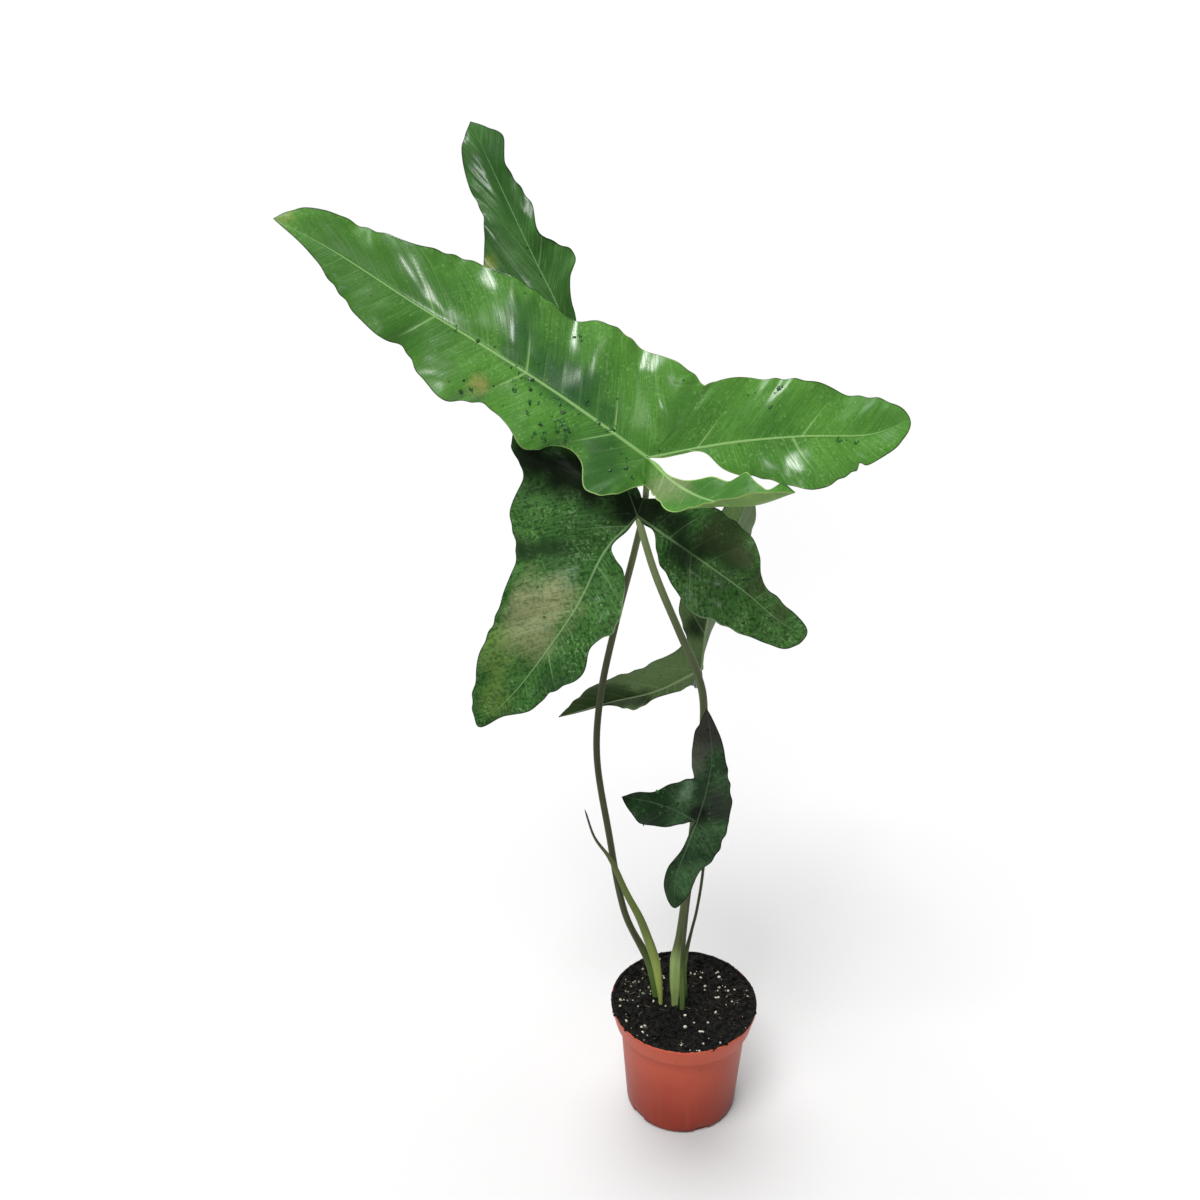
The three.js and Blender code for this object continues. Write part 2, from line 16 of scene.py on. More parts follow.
import bmesh
import bpy
import numpy as np
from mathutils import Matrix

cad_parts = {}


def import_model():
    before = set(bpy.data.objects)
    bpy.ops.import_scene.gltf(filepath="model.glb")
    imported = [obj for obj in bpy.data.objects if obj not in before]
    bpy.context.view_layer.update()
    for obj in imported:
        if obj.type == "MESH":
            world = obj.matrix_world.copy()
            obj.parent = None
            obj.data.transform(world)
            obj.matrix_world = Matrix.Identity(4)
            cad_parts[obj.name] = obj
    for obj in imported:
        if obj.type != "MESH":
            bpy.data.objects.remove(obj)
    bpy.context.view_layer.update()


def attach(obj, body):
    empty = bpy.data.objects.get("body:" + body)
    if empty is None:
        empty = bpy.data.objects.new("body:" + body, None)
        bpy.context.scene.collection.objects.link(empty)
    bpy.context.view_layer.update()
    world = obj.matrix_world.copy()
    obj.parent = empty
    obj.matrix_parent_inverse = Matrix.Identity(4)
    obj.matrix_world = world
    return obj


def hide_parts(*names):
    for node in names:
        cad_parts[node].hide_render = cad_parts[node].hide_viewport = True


LOG = logging.getLogger("potted_plant")
MM = 0.001
FULL_TURN = 2.0 * math.pi
HALF_TURN = 3.14
TINY = 1e-9
PINCH = 0.01
ROOT = "root"

Colour = tuple[float, float, float]
Pair = tuple[float, float]
Triple = tuple[float, float, float]
Quad = tuple[float, float, float, float]
Margin = tuple[np.ndarray, np.ndarray]


def unit(vectors: np.ndarray) -> np.ndarray:
    """Vectors scaled to length one."""
    return vectors / np.maximum(np.linalg.norm(vectors, axis=-1, keepdims=True), TINY)


def smoothstep(values: np.ndarray, low: float, high: float) -> np.ndarray:
    """Smooth ramp from 0 at low to 1 at high."""
    t = np.clip((values - low) / (high - low), 0.0, 1.0)
    return t * t * (3.0 - 2.0 * t)


def circle(count: int) -> np.ndarray:
    """Angles of evenly spaced points round a circle."""
    return np.linspace(0.0, FULL_TURN, count, endpoint=False)


def polar(radius: np.ndarray, angle: np.ndarray, height: np.ndarray) -> np.ndarray:
    """Points from their distance to the pot's axis, their angle and their height."""
    return np.stack([radius * np.cos(angle), radius * np.sin(angle), height], axis=-1)


def catmull_rom(
    points: np.ndarray,
    steps: int,
    power: float,
    before: Optional[np.ndarray] = None,
    after: Optional[np.ndarray] = None,
) -> np.ndarray:
    """A smooth line through points.

    Args:
        points: The points it passes through, one a row.
        steps: Samples to each stretch between two points.
        power: 0.5 for centripetal spacing, 0 for even spacing.
        before: A point that the line comes from, or none for a straight start.
        after: A point that the line heads for, or none for a straight end.

    Returns:
        The samples, one a row, with the last point at the end.
    """
    first = 2 * points[0] - points[1] if before is None else before
    last = 2 * points[-1] - points[-2] if after is None else after
    padded = np.vstack([first, points, last])
    p0, p1, p2, p3 = padded[:-3], padded[1:-2], padded[2:-1], padded[3:]
    d0, d1, d2 = (
        np.maximum(np.linalg.norm(b - a, axis=1, keepdims=True) ** power, 1e-4)
        for a, b in ((p0, p1), (p1, p2), (p2, p3))
    )
    leave = ((p1 - p0) / d0 - (p2 - p0) / (d0 + d1) + (p2 - p1) / d1) * d1
    arrive = ((p2 - p1) / d1 - (p3 - p1) / (d1 + d2) + (p3 - p2) / d2) * d1
    t = np.linspace(0.0, 1.0, steps, endpoint=False)[None, :, None]
    p1, p2, leave, arrive = (a[:, None, :] for a in (p1, p2, leave, arrive))
    line = p1 + leave * t + (3 * (p2 - p1) - 2 * leave - arrive) * t**2
    line = line + (2 * (p1 - p2) + leave + arrive) * t**3
    return np.vstack([line.reshape(-1, points.shape[1]), points[-1]])


def lengths_along(line: np.ndarray) -> np.ndarray:
    """Length from the start to each point of a line."""
    steps = np.linalg.norm(np.diff(line[:, :3], axis=0), axis=1)
    return np.concatenate([[0.0], np.cumsum(steps)])


def sample_line(at: np.ndarray, lengths: np.ndarray, line: np.ndarray) -> np.ndarray:
    """A line's points, or whatever goes with them, at given lengths along it."""
    return np.stack([np.interp(at, lengths, column) for column in line.T], axis=-1)


def grid_quads(index: np.ndarray, turned: bool = False) -> np.ndarray:
    """The quads of a grid of points.

    Args:
        index: Point numbers in rows and columns.
        turned: Whether the quads look the other way.

    Returns:
        Four point numbers to a quad.
    """
    a, b, c, d = index[:-1, :-1], index[1:, :-1], index[1:, 1:], index[:-1, 1:]
    order = (a, d, c, b) if turned else (a, b, c, d)
    return np.stack([corner.ravel() for corner in order], axis=1)


def capped(
    rings: np.ndarray, first: Sequence[float], last: Sequence[float]
) -> tuple[np.ndarray, list[list[int]]]:
    """Closes a stack of rings with a fan of triangles at either end.

    Args:
        rings: Points by ring and by place round it.
        first: The middle of the first ring's fan.
        last: The middle of the last ring's fan.

    Returns:
        All the points, and the faces: first the quads, then each end's fan.
    """
    count, sides = rings.shape[:2]
    index = np.pad(np.arange(count * sides).reshape(count, sides), ((0, 0), (0, 1)), "wrap")
    faces = grid_quads(index, turned=True).tolist()
    low, high = index[0].tolist(), index[-1].tolist()
    faces += [[count * sides, b, a] for a, b in zip(low, low[1:])]
    faces += [[count * sides + 1, a, b] for a, b in zip(high, high[1:])]
    return np.vstack([rings.reshape(-1, 3), first, last]), faces


class Lumps:
    """Smooth random hills and hollows in space, the same on every run."""

    GRID = 16

    def __init__(self, seed: int) -> None:
        """Draws the values on the lattice."""
        self.values = np.random.default_rng(seed).uniform(-1.0, 1.0, (self.GRID,) * 3)

    def at(self, points: np.ndarray, size: float) -> np.ndarray:
        """The height at points.

        Args:
            points: Positions, one a row.
            size: Distance between neighbouring lattice points.

        Returns:
            Heights between -1 and 1.
        """
        scaled = points / size
        cell = np.floor(scaled).astype(int)
        part = smoothstep(scaled - cell, 0.0, 1.0)
        total = np.zeros(points.shape[:-1])
        for corner in np.ndindex(2, 2, 2):
            weight = np.prod(np.where(corner, part, 1.0 - part), axis=-1)
            index = tuple((cell[..., axis] + corner[axis]) % self.GRID for axis in range(3))
            total += weight * self.values[index]
        return total


def add_node(
    tree: bpy.types.NodeTree, kind: str, settings: dict[str, Any], inputs: dict[Any, Any]
) -> bpy.types.Node:
    """Adds a node to a shader's or a modifier's tree.

    Args:
        tree: The tree.
        kind: The node's type.
        settings: The node's own settings, set before its sockets.
        inputs: Values or links of its sockets, by name or number.

    Returns:
        The node.
    """
    made = tree.nodes.new(kind)
    for key, value in settings.items():
        setattr(made, key, value)
    for key, value in inputs.items():
        socket = made.inputs[key]
        if isinstance(value, bpy.types.NodeSocket):
            tree.links.new(value, socket)
        elif socket.type == "RGBA" and len(value) == 3:
            socket.default_value = (*value, 1.0)
        else:
            socket.default_value = value
    return made


class Sock:
    """A node's output that stands in Python arithmetic."""

    def __init__(self, shading: "Shading", socket: bpy.types.NodeSocket) -> None:
        """Keeps the socket and the material that it is in."""
        self.shading = shading
        self.socket = socket

    def math(self, operation: str, *values: Any) -> "Sock":
        """A Math node on this value and others, in that order."""
        inputs = dict(enumerate((self, *values)))
        return self.shading.node("ShaderNodeMath", inputs, operation=operation)

    def __add__(self, other: Any) -> "Sock":
        """Sum."""
        return self.math("ADD", other)

    __radd__ = __add__

    def __mul__(self, other: Any) -> "Sock":
        """Product."""
        return self.math("MULTIPLY", other)

    __rmul__ = __mul__

    def __sub__(self, other: Any) -> "Sock":
        """Difference."""
        return self.math("SUBTRACT", other)

    def __rsub__(self, other: float) -> "Sock":
        """Difference from a number."""
        return self.shading.node("ShaderNodeMath", {0: other, 1: self}, operation="SUBTRACT")

    def __truediv__(self, other: Any) -> "Sock":
        """Quotient."""
        return self.math("DIVIDE", other)

    def __abs__(self) -> "Sock":
        """Size without its sign."""
        return self.math("ABSOLUTE")

    def ramp(self, low: Any, high: Any) -> "Sock":
        """Smooth ramp from 0 at low to 1 at high."""
        inputs = {0: self, 1: low, 2: high}
        return self.shading.node("ShaderNodeMapRange", inputs, interpolation_type="SMOOTHSTEP")

    def near_lines(self, spacing: float, half_width: Any, start: float = 0.0) -> "Sock":
        """Mask of evenly spaced lines.

        Args:
            spacing: Distance from line to line.
            half_width: Half of a line's width.
            start: Where the first line lies.

        Returns:
            1 on a line, fading to 0 past its edge.
        """
        cycle = ((self - start) / spacing + 0.5).math("FRACT")
        distance = abs(cycle - 0.5) * spacing
        return 1.0 - distance.ramp(half_width * 0.4, half_width * 1.3)


class Shading:
    """A material whose nodes are written as expressions, with its colour laid on in coats."""

    def __init__(self, name: str) -> None:
        """Makes the empty material.

        Args:
            name: Its name.
        """
        self.material = bpy.data.materials.new(name)
        self.material.use_nodes = True
        self.tree = self.material.node_tree
        self.tree.nodes.clear()
        self.colour: Any = None
        places = self.tree.nodes.new("ShaderNodeTexCoord").outputs["Object"]
        self.position = Sock(self, places)

    def node(
        self, kind: str, inputs: dict[Any, Any], output: Union[str, int] = 0, **settings: Any
    ) -> Sock:
        """Adds a node.

        Args:
            kind: The node's type.
            inputs: Values or links of its sockets.
            output: The socket that is handed back.
            **settings: The node's own settings.

        Returns:
            The node's output.
        """
        plain = {k: v.socket if isinstance(v, Sock) else v for k, v in inputs.items()}
        return Sock(self, add_node(self.tree, kind, settings, plain).outputs[output])

    def uv(self, layer: str) -> tuple[Sock, Sock]:
        """The two numbers of a piece's map."""
        return self.split(self.node("ShaderNodeUVMap", {}, uv_map=layer))[:2]

    def split(self, vector: Sock) -> tuple[Sock, Sock, Sock]:
        """A vector's three parts."""
        made = add_node(self.tree, "ShaderNodeSeparateXYZ", {}, {0: vector.socket})
        return tuple(Sock(self, output) for output in made.outputs)

    def join(self, x: Any, y: Any, z: Any = 0.0) -> Sock:
        """A vector from three numbers."""
        return self.node("ShaderNodeCombineXYZ", {0: x, 1: y, 2: z})

    def noise(self, scale: float, detail: float = 2.0, vector: Optional[Sock] = None) -> Sock:
        """Cloudy noise between 0 and 1."""
        inputs = {"Vector": vector or self.position, "Scale": scale, "Detail": detail}
        return self.node("ShaderNodeTexNoise", inputs)

    def specks(self, scale: float, radius: float, share: float) -> Sock:
        """Mask of scattered round specks.

        Args:
            scale: Cells to a metre.
            radius: A speck's radius as a part of its cell.
            share: How many of the cells hold one.

        Returns:
            1 in a speck and 0 elsewhere.
        """
        inputs = {"Vector": self.position, "Scale": scale}
        distance = self.node("ShaderNodeTexVoronoi", inputs)
        cells = self.node("ShaderNodeTexVoronoi", inputs, "Color")
        chosen = self.split(cells)[0].math("LESS_THAN", share)
        return (1.0 - distance.ramp(radius * 0.6, radius)) * chosen

    def largest(self, shares: list[Sock]) -> Any:
        """The largest of several shares.

        Args:
            shares: Values between 0 and 1.

        Returns:
            The largest, or 0 where there are none.
        """
        most: Any = shares[0] if shares else 0.0
        for share in shares[1:]:
            most = most.math("MAXIMUM", share)
        return most

    def mix(self, share: Any, first: Any, second: Any) -> Sock:
        """A colour between two, at share."""
        inputs = {0: share, 6: first, 7: second}
        return self.node("ShaderNodeMix", inputs, 2, data_type="RGBA")

    def lay(self, share: Any, colour: Any) -> None:
        """Lays a colour over the colour so far, at share."""
        self.colour = self.mix(share, self.colour, colour)

    def finish(
        self, roughness: Any, height: Sock, relief_mm: float, gloss: float = 0.5, **coat: Any
    ) -> bpy.types.Material:
        """Puts the shader with the colour so far on the material.

        Args:
            roughness: Roughness.
            height: Height between 0 and 1.
            relief_mm: How far a height of 1 stands out.
            gloss: Strength of the plain reflection.
            **coat: Values or links of the clear coat's sockets.

        Returns:
            The finished material.
        """
        bump = {"Height": height, "Distance": relief_mm * MM, "Strength": 1.0}
        inputs = {
            "Base Color": self.colour,
            "Roughness": roughness,
            "Specular IOR Level": gloss,
            "Normal": self.node("ShaderNodeBump", bump),
            **{f"Coat {key}": value for key, value in coat.items()},
        }
        shader = self.node("ShaderNodeBsdfPrincipled", inputs)
        add_node(self.tree, "ShaderNodeOutputMaterial", {}, {"Surface": shader.socket})
        return self.material


@dataclass(frozen=True)
class StainOrPaintedLight:
    """A patch round a point of a leaf, which may be matt or veil the ribs: a real stain or
    discolouration, or painted shade, shadow or sheen.
    """

    centre: Triple
    radius: float
    colour: Colour
    strength: float
    grain: float = 0.75
    matt: float = 0.0
    veil: float = 0.0

    def mask(self, skin: Shading) -> Sock:
        """Where the stain or painted light lies.

        Args:
            skin: The material that it is laid on.

        Returns:
            1 in the middle, fading raggedly to 0 at the radius.
        """
        inputs = {0: skin.position, 1: tuple(c * MM for c in self.centre)}
        far = skin.node("ShaderNodeVectorMath", inputs, "Value", operation="DISTANCE")
        reach = self.radius * MM
        ragged = far + (skin.noise(60.0, 4.0) - 0.5) * reach
        return 1.0 - ragged.ramp(reach * 0.25, reach)


@dataclass(frozen=True)
class LeafFinish:
    """Skin of a leaf's upper or under side. Shares say how strongly each mark shows."""

    name: str
    deep: Colour
    bright: Colour
    vein: Colour
    edge: Colour
    roughness: float
    rib_share: float = 0.8
    primary_share: float = 0.65
    side_share: float = 0.16
    stripe_share: float = 0.22
    dapple_share: float = 0.25
    fleck_share: float = 0.3
    dark_specks: float = 0.12
    # Share of cells that hold a fine water speck, raised and painted paler as a glint.
    dew_and_glint: float = 0.0
    cloud_scale: float = 17.0
    calm: float = 2000.0
    rib_half: float = 1.1
    relief_mm: float = 0.45
    gloss: float = 0.16
    wax: float = 0.1
    polish: float = 0.85
    primary_spacing: float = 70.0
    primary_start: float = 27.0
    side_spacing: float = 14.0
    blotches: tuple[StainOrPaintedLight, ...] = ()
    rims: tuple[StainOrPaintedLight, ...] = ()

    def material(self) -> bpy.types.Material:
        """Builds the skin from the maps of a blade."""
        return LeafSkin(self).build()


class LeafSkin(Shading):
    """A leaf's skin: its ground, then stains and painted shade, shadow and sheen, veins, margin and
    specks on top of it.
    """

    CALM_FADE = 90.0
    SHADE = 0.35
    SPECK = 0.24
    COAT_ROUGHNESS = 0.22
    COAT_IOR = 1.8

    def __init__(self, plan: LeafFinish) -> None:
        """Reads the maps and makes the patterns that run along the veins.

        Args:
            plan: The finish's colours and shares.
        """
        super().__init__(plan.name)
        self.plan = plan
        self.vein_at, self.out = self.uv("Veins")
        self.edge, self.lobe = self.uv("Edge")
        self.strands = self.noise(1.0, 3.0, self.join(self.vein_at * 0.55, self.out * 0.035))
        self.fine = self.noise(1.0, 2.0, self.join(self.vein_at * 1.5, self.out * 0.09, 4.0))
        self.dapple = self.noise(400.0, 3.0)
        self.shade = tuple(self.SHADE * c for c in plan.deep)

    def lay_ground(self) -> None:
        """Lays clouds and stripes, and flecks and spots below the height where the skin is calm."""
        plan = self.plan
        cloud = self.noise(plan.cloud_scale, 3.0)
        tone = cloud.ramp(0.34, 0.66) * 0.5 + self.strands.ramp(0.35, 0.65) * 0.25
        tone = tone + self.fine.ramp(0.35, 0.65) * 0.25
        self.colour = self.mix(tone, plan.deep, plan.bright)
        self.lay(self.fine.ramp(0.58, 0.75) * plan.stripe_share, plan.vein)
        height = self.split(self.position)[2] / MM
        coarse = 1.0 - height.ramp(plan.calm, plan.calm + self.CALM_FADE)
        spots = (1.0 - self.dapple.ramp(0.36, 0.54)) * coarse
        self.lay(spots * plan.dapple_share, self.shade)
        patchy = self.noise(48.0, 2.0).ramp(0.4, 0.6)
        fleck = self.noise(520.0, 2.0).ramp(0.54, 0.68) * patchy * coarse
        self.lay(fleck * plan.fleck_share, plan.vein)

    def lay_blotches(self) -> tuple[Any, Any]:
        """Lays the stains and the patches of painted shade, shadow and sheen.

        Returns:
            How matt the skin is, and how much of the ribs still shows.
        """
        grain = self.fine.ramp(0.42, 0.58) * 0.5 + self.dapple.ramp(0.42, 0.56) * 0.5
        masks = [(blotch, blotch.mask(self)) for blotch in self.plan.blotches]
        for blotch, mask in masks:
            part = (1.0 - blotch.grain) + grain * blotch.grain
            self.lay(mask * blotch.strength * part, blotch.colour)
        dull = self.largest([mask * blotch.matt for blotch, mask in masks if blotch.matt])
        veil = self.largest([mask * blotch.veil for blotch, mask in masks if blotch.veil])
        return dull, 1.0 - veil

    def lay_veins(self, bare: Any) -> tuple[Sock, Sock]:
        """Lays the side veins, the main side veins and the ribs.

        Args:
            bare: How much of the ribs shows.

        Returns:
            Masks of the main side veins and of the ribs.
        """
        plan, out, lobe = self.plan, self.out, self.lobe
        side = self.vein_at.near_lines(plan.side_spacing, 0.4) * (1.0 - out.ramp(10.0, 30.0))
        self.lay(side * plan.side_share, plan.vein)
        slim = 0.8 - out.ramp(0.0, 40.0) * 0.6
        primary = self.vein_at.near_lines(plan.primary_spacing, slim, plan.primary_start)
        primary = primary * (1.0 - out.ramp(9.0, 30.0)) * (1.0 - lobe.ramp(0.62, 0.78))
        self.lay(primary * plan.primary_share * bare, plan.vein)
        width = plan.rib_half * (1.1 - lobe * 0.92)
        rib = (1.0 - out.ramp(width * 0.6, width * 1.1)) * (1.0 - lobe.ramp(0.8, 0.97) * 0.7)
        self.lay(rib * plan.rib_share * bare, plan.vein)
        return primary, rib

    def build(self) -> bpy.types.Material:
        """Lays every coat and puts the shader on.

        Returns:
            The material.
        """
        plan, fine = self.plan, self.fine
        self.lay_ground()
        dull, bare = self.lay_blotches()
        primary, rib = self.lay_veins(bare)

        rim_colour: Any = plan.edge
        for zone in plan.rims:
            rim_colour = self.mix(zone.mask(self) * zone.strength, rim_colour, zone.colour)
        self.lay((1.0 - self.edge.ramp(0.35, 1.0)) * 0.85, rim_colour)
        self.lay(self.specks(210.0, self.SPECK, plan.dark_specks) * 0.75, self.shade)

        roughness = plan.roughness + (fine - 0.5) * 0.3 + (self.dapple - 0.5) * 0.35 + dull
        height = self.strands * 0.35 + fine * 0.3 + self.dapple * 0.2 + primary * 0.1 + rib * 0.2
        if plan.dew_and_glint:
            # Fine water specks: real relief, with a painted glint that lays the pale vein colour on
            # each speck.
            dew_and_glint = self.specks(300.0, self.SPECK, plan.dew_and_glint)
            self.lay(dew_and_glint * 0.3, plan.vein)
            height = height + dew_and_glint * 0.3
        brushed = fine.ramp(0.34, 0.62) * 0.6 + self.strands.ramp(0.36, 0.6) * 0.4
        wax = self.uv("Shine")[0] * (0.12 + brushed * 0.88) * plan.polish + plan.wax
        coat = {"Weight": wax, "Roughness": self.COAT_ROUGHNESS, "IOR": self.COAT_IOR}
        return self.finish(roughness, height, plan.relief_mm, plan.gloss, **coat)


@dataclass(frozen=True)
class StemFinish:
    """Skin of a petiole or sheath, from its foot up, with the heights where its colours turn."""

    name: str
    foot: Colour
    middle: Colour
    top: Colour
    fade: Pair
    rise: Pair
    roughness: float = 0.42

    def material(self) -> bpy.types.Material:
        """Builds the skin from the height above the ground and the map round the stem.

        Returns:
            The material.
        """
        skin = Shading(self.name)
        round_it, along = skin.uv("Stem")
        wander = (skin.noise(30.0, 3.0) - 0.5) * 30.0
        height = skin.split(skin.position)[2] / MM + wander
        skin.colour = skin.mix(height.ramp(*self.fade), self.foot, self.middle)
        skin.lay(height.ramp(*self.rise), self.top)
        strands = skin.noise(1.0, 3.0, skin.join(round_it * 26.0, along * 0.035))
        skin.lay(strands.ramp(0.4, 0.75) * 0.4, self.top)
        fleck = skin.noise(1.0, 2.0, skin.join(round_it * 40.0, along * 0.5, 7.0))
        skin.lay(fleck.ramp(0.6, 0.8) * 0.55, tuple(0.4 * c for c in self.middle))
        roughness = self.roughness + (fleck - 0.5) * 0.25
        return skin.finish(roughness, strands * 0.7 + fleck * 0.3, 0.22, 0.2)


@dataclass(frozen=True)
class PotFinish:
    """Satin moulded plastic with soil dust and handling marks, and painted shade: darker towards
    the foot and in a line under the band's ledge.
    """

    name: str = "terracotta_plastic"
    # Painted shade: the pot's colour runs from light at the rim to deep at the foot.
    light: Colour = (0.46, 0.082, 0.044)
    deep: Colour = (0.25, 0.03, 0.0145)
    dust: Colour = (0.36, 0.15, 0.1)
    # Colour of soil splashes and of the darker foot, also used for the painted shadow under the
    # ledge.
    grime_and_shade: Colour = (0.05, 0.03, 0.022)
    ledge: float = 84.5

    def material(self) -> bpy.types.Material:
        """Builds the finish from height, clouds, scuffs and splashes, with painted shade darker
        towards the foot and a painted shadow under the band's ledge.

        Returns:
            The material.
        """
        skin = Shading(self.name)
        x, y, z = skin.split(skin.position)
        height = z / MM
        cloud = skin.noise(22.0, 4.0)
        # Painted shade: lighter towards the rim, deeper towards the foot.
        share = (height + (cloud - 0.5) * 50.0).ramp(5.0, 95.0)
        skin.colour = skin.mix(share, self.deep, self.light)
        streaks = skin.noise(1.0, 3.0, skin.join(x * 160.0, y * 160.0, z * 9.0))
        streaked = streaks.ramp(0.5, 0.8) * 0.12
        skin.lay(streaked, self.dust)
        scuffs = skin.noise(1.0, 2.0, skin.join(x * 300.0, y * 300.0, z * 1500.0))
        scuffs = scuffs.ramp(0.66, 0.78) * cloud.ramp(0.45, 0.7)
        skin.lay(scuffs * 0.35, self.dust)
        splash = skin.specks(260.0, 0.26, 0.12) * height.ramp(40.0, 100.0)
        # Painted shadow: a dark line under the band's ledge.
        painted_ledge_shadow = 1.0 - abs(height - self.ledge).ramp(0.4, 2.6)
        # Darker towards the foot, in patches.
        low = (1.0 - height.ramp(0.0, 9.0)) * cloud.ramp(0.3, 0.6)
        for mark, strength in ((splash, 0.7), (painted_ledge_shadow, 0.42), (low, 0.5)):
            skin.lay(mark * strength, self.grime_and_shade)
        peel = skin.noise(900.0, 2.0)
        roughness = 0.4 + (cloud - 0.5) * 0.2 + streaked
        return skin.finish(roughness, peel * 0.25 + streaks * 0.5 + scuffs * 0.25, 0.12, 0.18)


@dataclass(frozen=True)
class GrainFinish:
    """Peat, perlite, root or bark: a rough grained stuff of two colours."""

    name: str
    dark: Colour
    light: Colour
    scale: float
    roughness: float
    relief_mm: float

    def material(self) -> bpy.types.Material:
        """Builds the finish from two sizes of noise.

        Returns:
            The material.
        """
        skin = Shading(self.name)
        coarse = skin.noise(self.scale, 4.0)
        fine = skin.noise(self.scale * 5.0, 3.0)
        skin.colour = skin.mix((coarse * 0.6 + fine * 0.4).ramp(0.38, 0.64), self.dark, self.light)
        roughness = self.roughness + (fine - 0.5) * 0.2
        return skin.finish(roughness, coarse * 0.5 + fine * 0.5, self.relief_mm, 0.06)


@dataclass(frozen=True)
class DropFinish:
    """Water standing on a leaf, dark through the green under it."""

    name: str = "water_drops"
    colour: Colour = (0.008, 0.038, 0.007)

    def material(self) -> bpy.types.Material:
        """Builds a wet glossy finish.

        Returns:
            The material.
        """
        skin = Shading(self.name)
        cloud = skin.noise(320.0, 1.0)
        pale = tuple(3.0 * c for c in self.colour)
        skin.colour = skin.mix(cloud.ramp(0.35, 0.65), self.colour, pale)
        return skin.finish(0.16 + cloud * 0.1, cloud, 0.02, 0.3)


@dataclass(frozen=True)
class FloorFinish:
    """Plain white studio floor."""

    name: str = "studio_white"
    colour: Colour = (0.52, 0.52, 0.52)
    shade: Colour = (0.5, 0.5, 0.5)

    def material(self) -> bpy.types.Material:
        """Builds a matte white.

        Returns:
            The material.
        """
        skin = Shading(self.name)
        cloud = skin.noise(3.0, 2.0)
        skin.colour = skin.mix(cloud * 0.02, self.colour, self.shade)
        return skin.finish(0.9, cloud, 0.01)


Finish = Union[LeafFinish, StemFinish, PotFinish, GrainFinish, DropFinish, FloorFinish]


@functools.cache
def material_of(finish: Finish) -> bpy.types.Material:
    """A finish's material, which is made when it is first asked for."""
    return finish.material()


def mesh_object(
    name: str,
    points: np.ndarray,
    faces: Sequence[Sequence[int]],
    finishes: Sequence[Finish],
    numbers: Optional[np.ndarray] = None,
    maps: Optional[dict[str, np.ndarray]] = None,
    sharp_angle: float = 0.7,
) -> bpy.types.Object:
    """Makes an object whose place is in its mesh.

    Args:
        name: The piece's name.
        points: Its points in millimetres.
        faces: Point numbers of each face.
        finishes: Its finishes.
        numbers: Each face's number among them.
        maps: Maps by name, with one row for each corner of each face.
        sharp_angle: Angle past which an edge is sharp.

    Returns:
        The new object, linked to the scene.
    """
    mesh = bpy.data.meshes.new(name)
    mesh.from_pydata((points * MM).tolist(), [], faces)
    for layer, values in (maps or {}).items():
        mesh.uv_layers.new(name=layer).data.foreach_set("uv", values.astype(np.float32).ravel())
    for finish in finishes:
        mesh.materials.append(material_of(finish))
    if numbers is not None:
        mesh.polygons.foreach_set("material_index", numbers.astype(np.int32))
    mesh.polygons.foreach_set("use_smooth", np.ones(len(mesh.polygons), bool))
    mesh.set_sharp_from_angle(angle=sharp_angle)
    mesh.validate()
    mesh.update()
    return linked(name, mesh)


def linked(name: str, data: bpy.types.ID) -> bpy.types.Object:
    """Links an object round a mesh, a light or a camera to the scene.

    Args:
        name: The object's name.
        data: What it holds.

    Returns:
        The object.
    """
    made = bpy.data.objects.new(name, data)
    bpy.context.scene.collection.objects.link(made)
    return made


def place(piece: bpy.types.Object, slot: str, *nodes: str) -> bpy.types.Object:
    """Rides a piece on the object and hides the frame's nodes that it replaces.

    Args:
        piece: The finished piece.
        slot: Not used.
        nodes: The frame's nodes that it replaces.

    Returns:
        The piece.
    """
    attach(piece, ROOT)
    if nodes:
        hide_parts(*nodes)
    LOG.info("%s: %d faces", piece.name, len(piece.data.polygons))
    return piece


@dataclass(frozen=True)
class RibPlan:
    """A rib from the junction to its lobe's tip, and the way the upper face looks at its ends."""

    points: tuple[Triple, ...]
    facing: tuple[Triple, Triple]
    blunt: bool = False


class Rib:
    """A rib with the frame that it carries along."""

    def __init__(self, plan: RibPlan) -> None:
        """Samples the rib's line.

        Args:
            plan: The rib's points and facing.
        """
        self.line = catmull_rom(np.array(plan.points, float), 60, 0.5)
        self.stations = lengths_along(self.line)
        self.length = float(self.stations[-1])
        self.heading = unit(np.gradient(self.line, self.stations, axis=0))
        self.facing = np.array(plan.facing, float)
        self.blunt = plan.blunt

    def frames(self, stations: np.ndarray) -> tuple[np.ndarray, np.ndarray, np.ndarray]:
        """Frames at stations, straight on past the rib's two ends.

        Args:
            stations: Distances from the junction.

        Returns:
            Origins, ups and rights, one a row.
        """
        inside = np.clip(stations, 0.0, self.length)
        along = unit(sample_line(inside, self.stations, self.heading))
        origin = sample_line(inside, self.stations, self.line)
        origin = origin + along * (stations - inside)[:, None]
        share = (inside / self.length)[:, None]
        up = self.facing[0] * (1.0 - share) + self.facing[1] * share
        up = unit(up - along * np.sum(up * along, axis=1, keepdims=True))
        return origin, up, np.cross(along, up)

    def margin(self, side: int, plan: Sequence[Triple]) -> Margin:
        """Margin points and their lifts.

        Args:
            side: 1 for the right of the rib and -1 for the left.
            plan: Station, distance out and height of each point.

        Returns:
            Points on the flat, and what lifts them off it.
        """
        values = np.array(plan, float).reshape(-1, 3)
        origin, up, right = self.frames(values[:, 0])
        return origin + right * side * values[:, 1:2], up * values[:, 2:3]

    @property
    def start(self) -> Margin:
        """The junction as a margin point."""
        return self.line[:1], np.zeros((1, 3))

    @property
    def tip(self) -> Margin:
        """The tip as a margin point."""
        return self.line[-1:], np.zeros((1, 3))


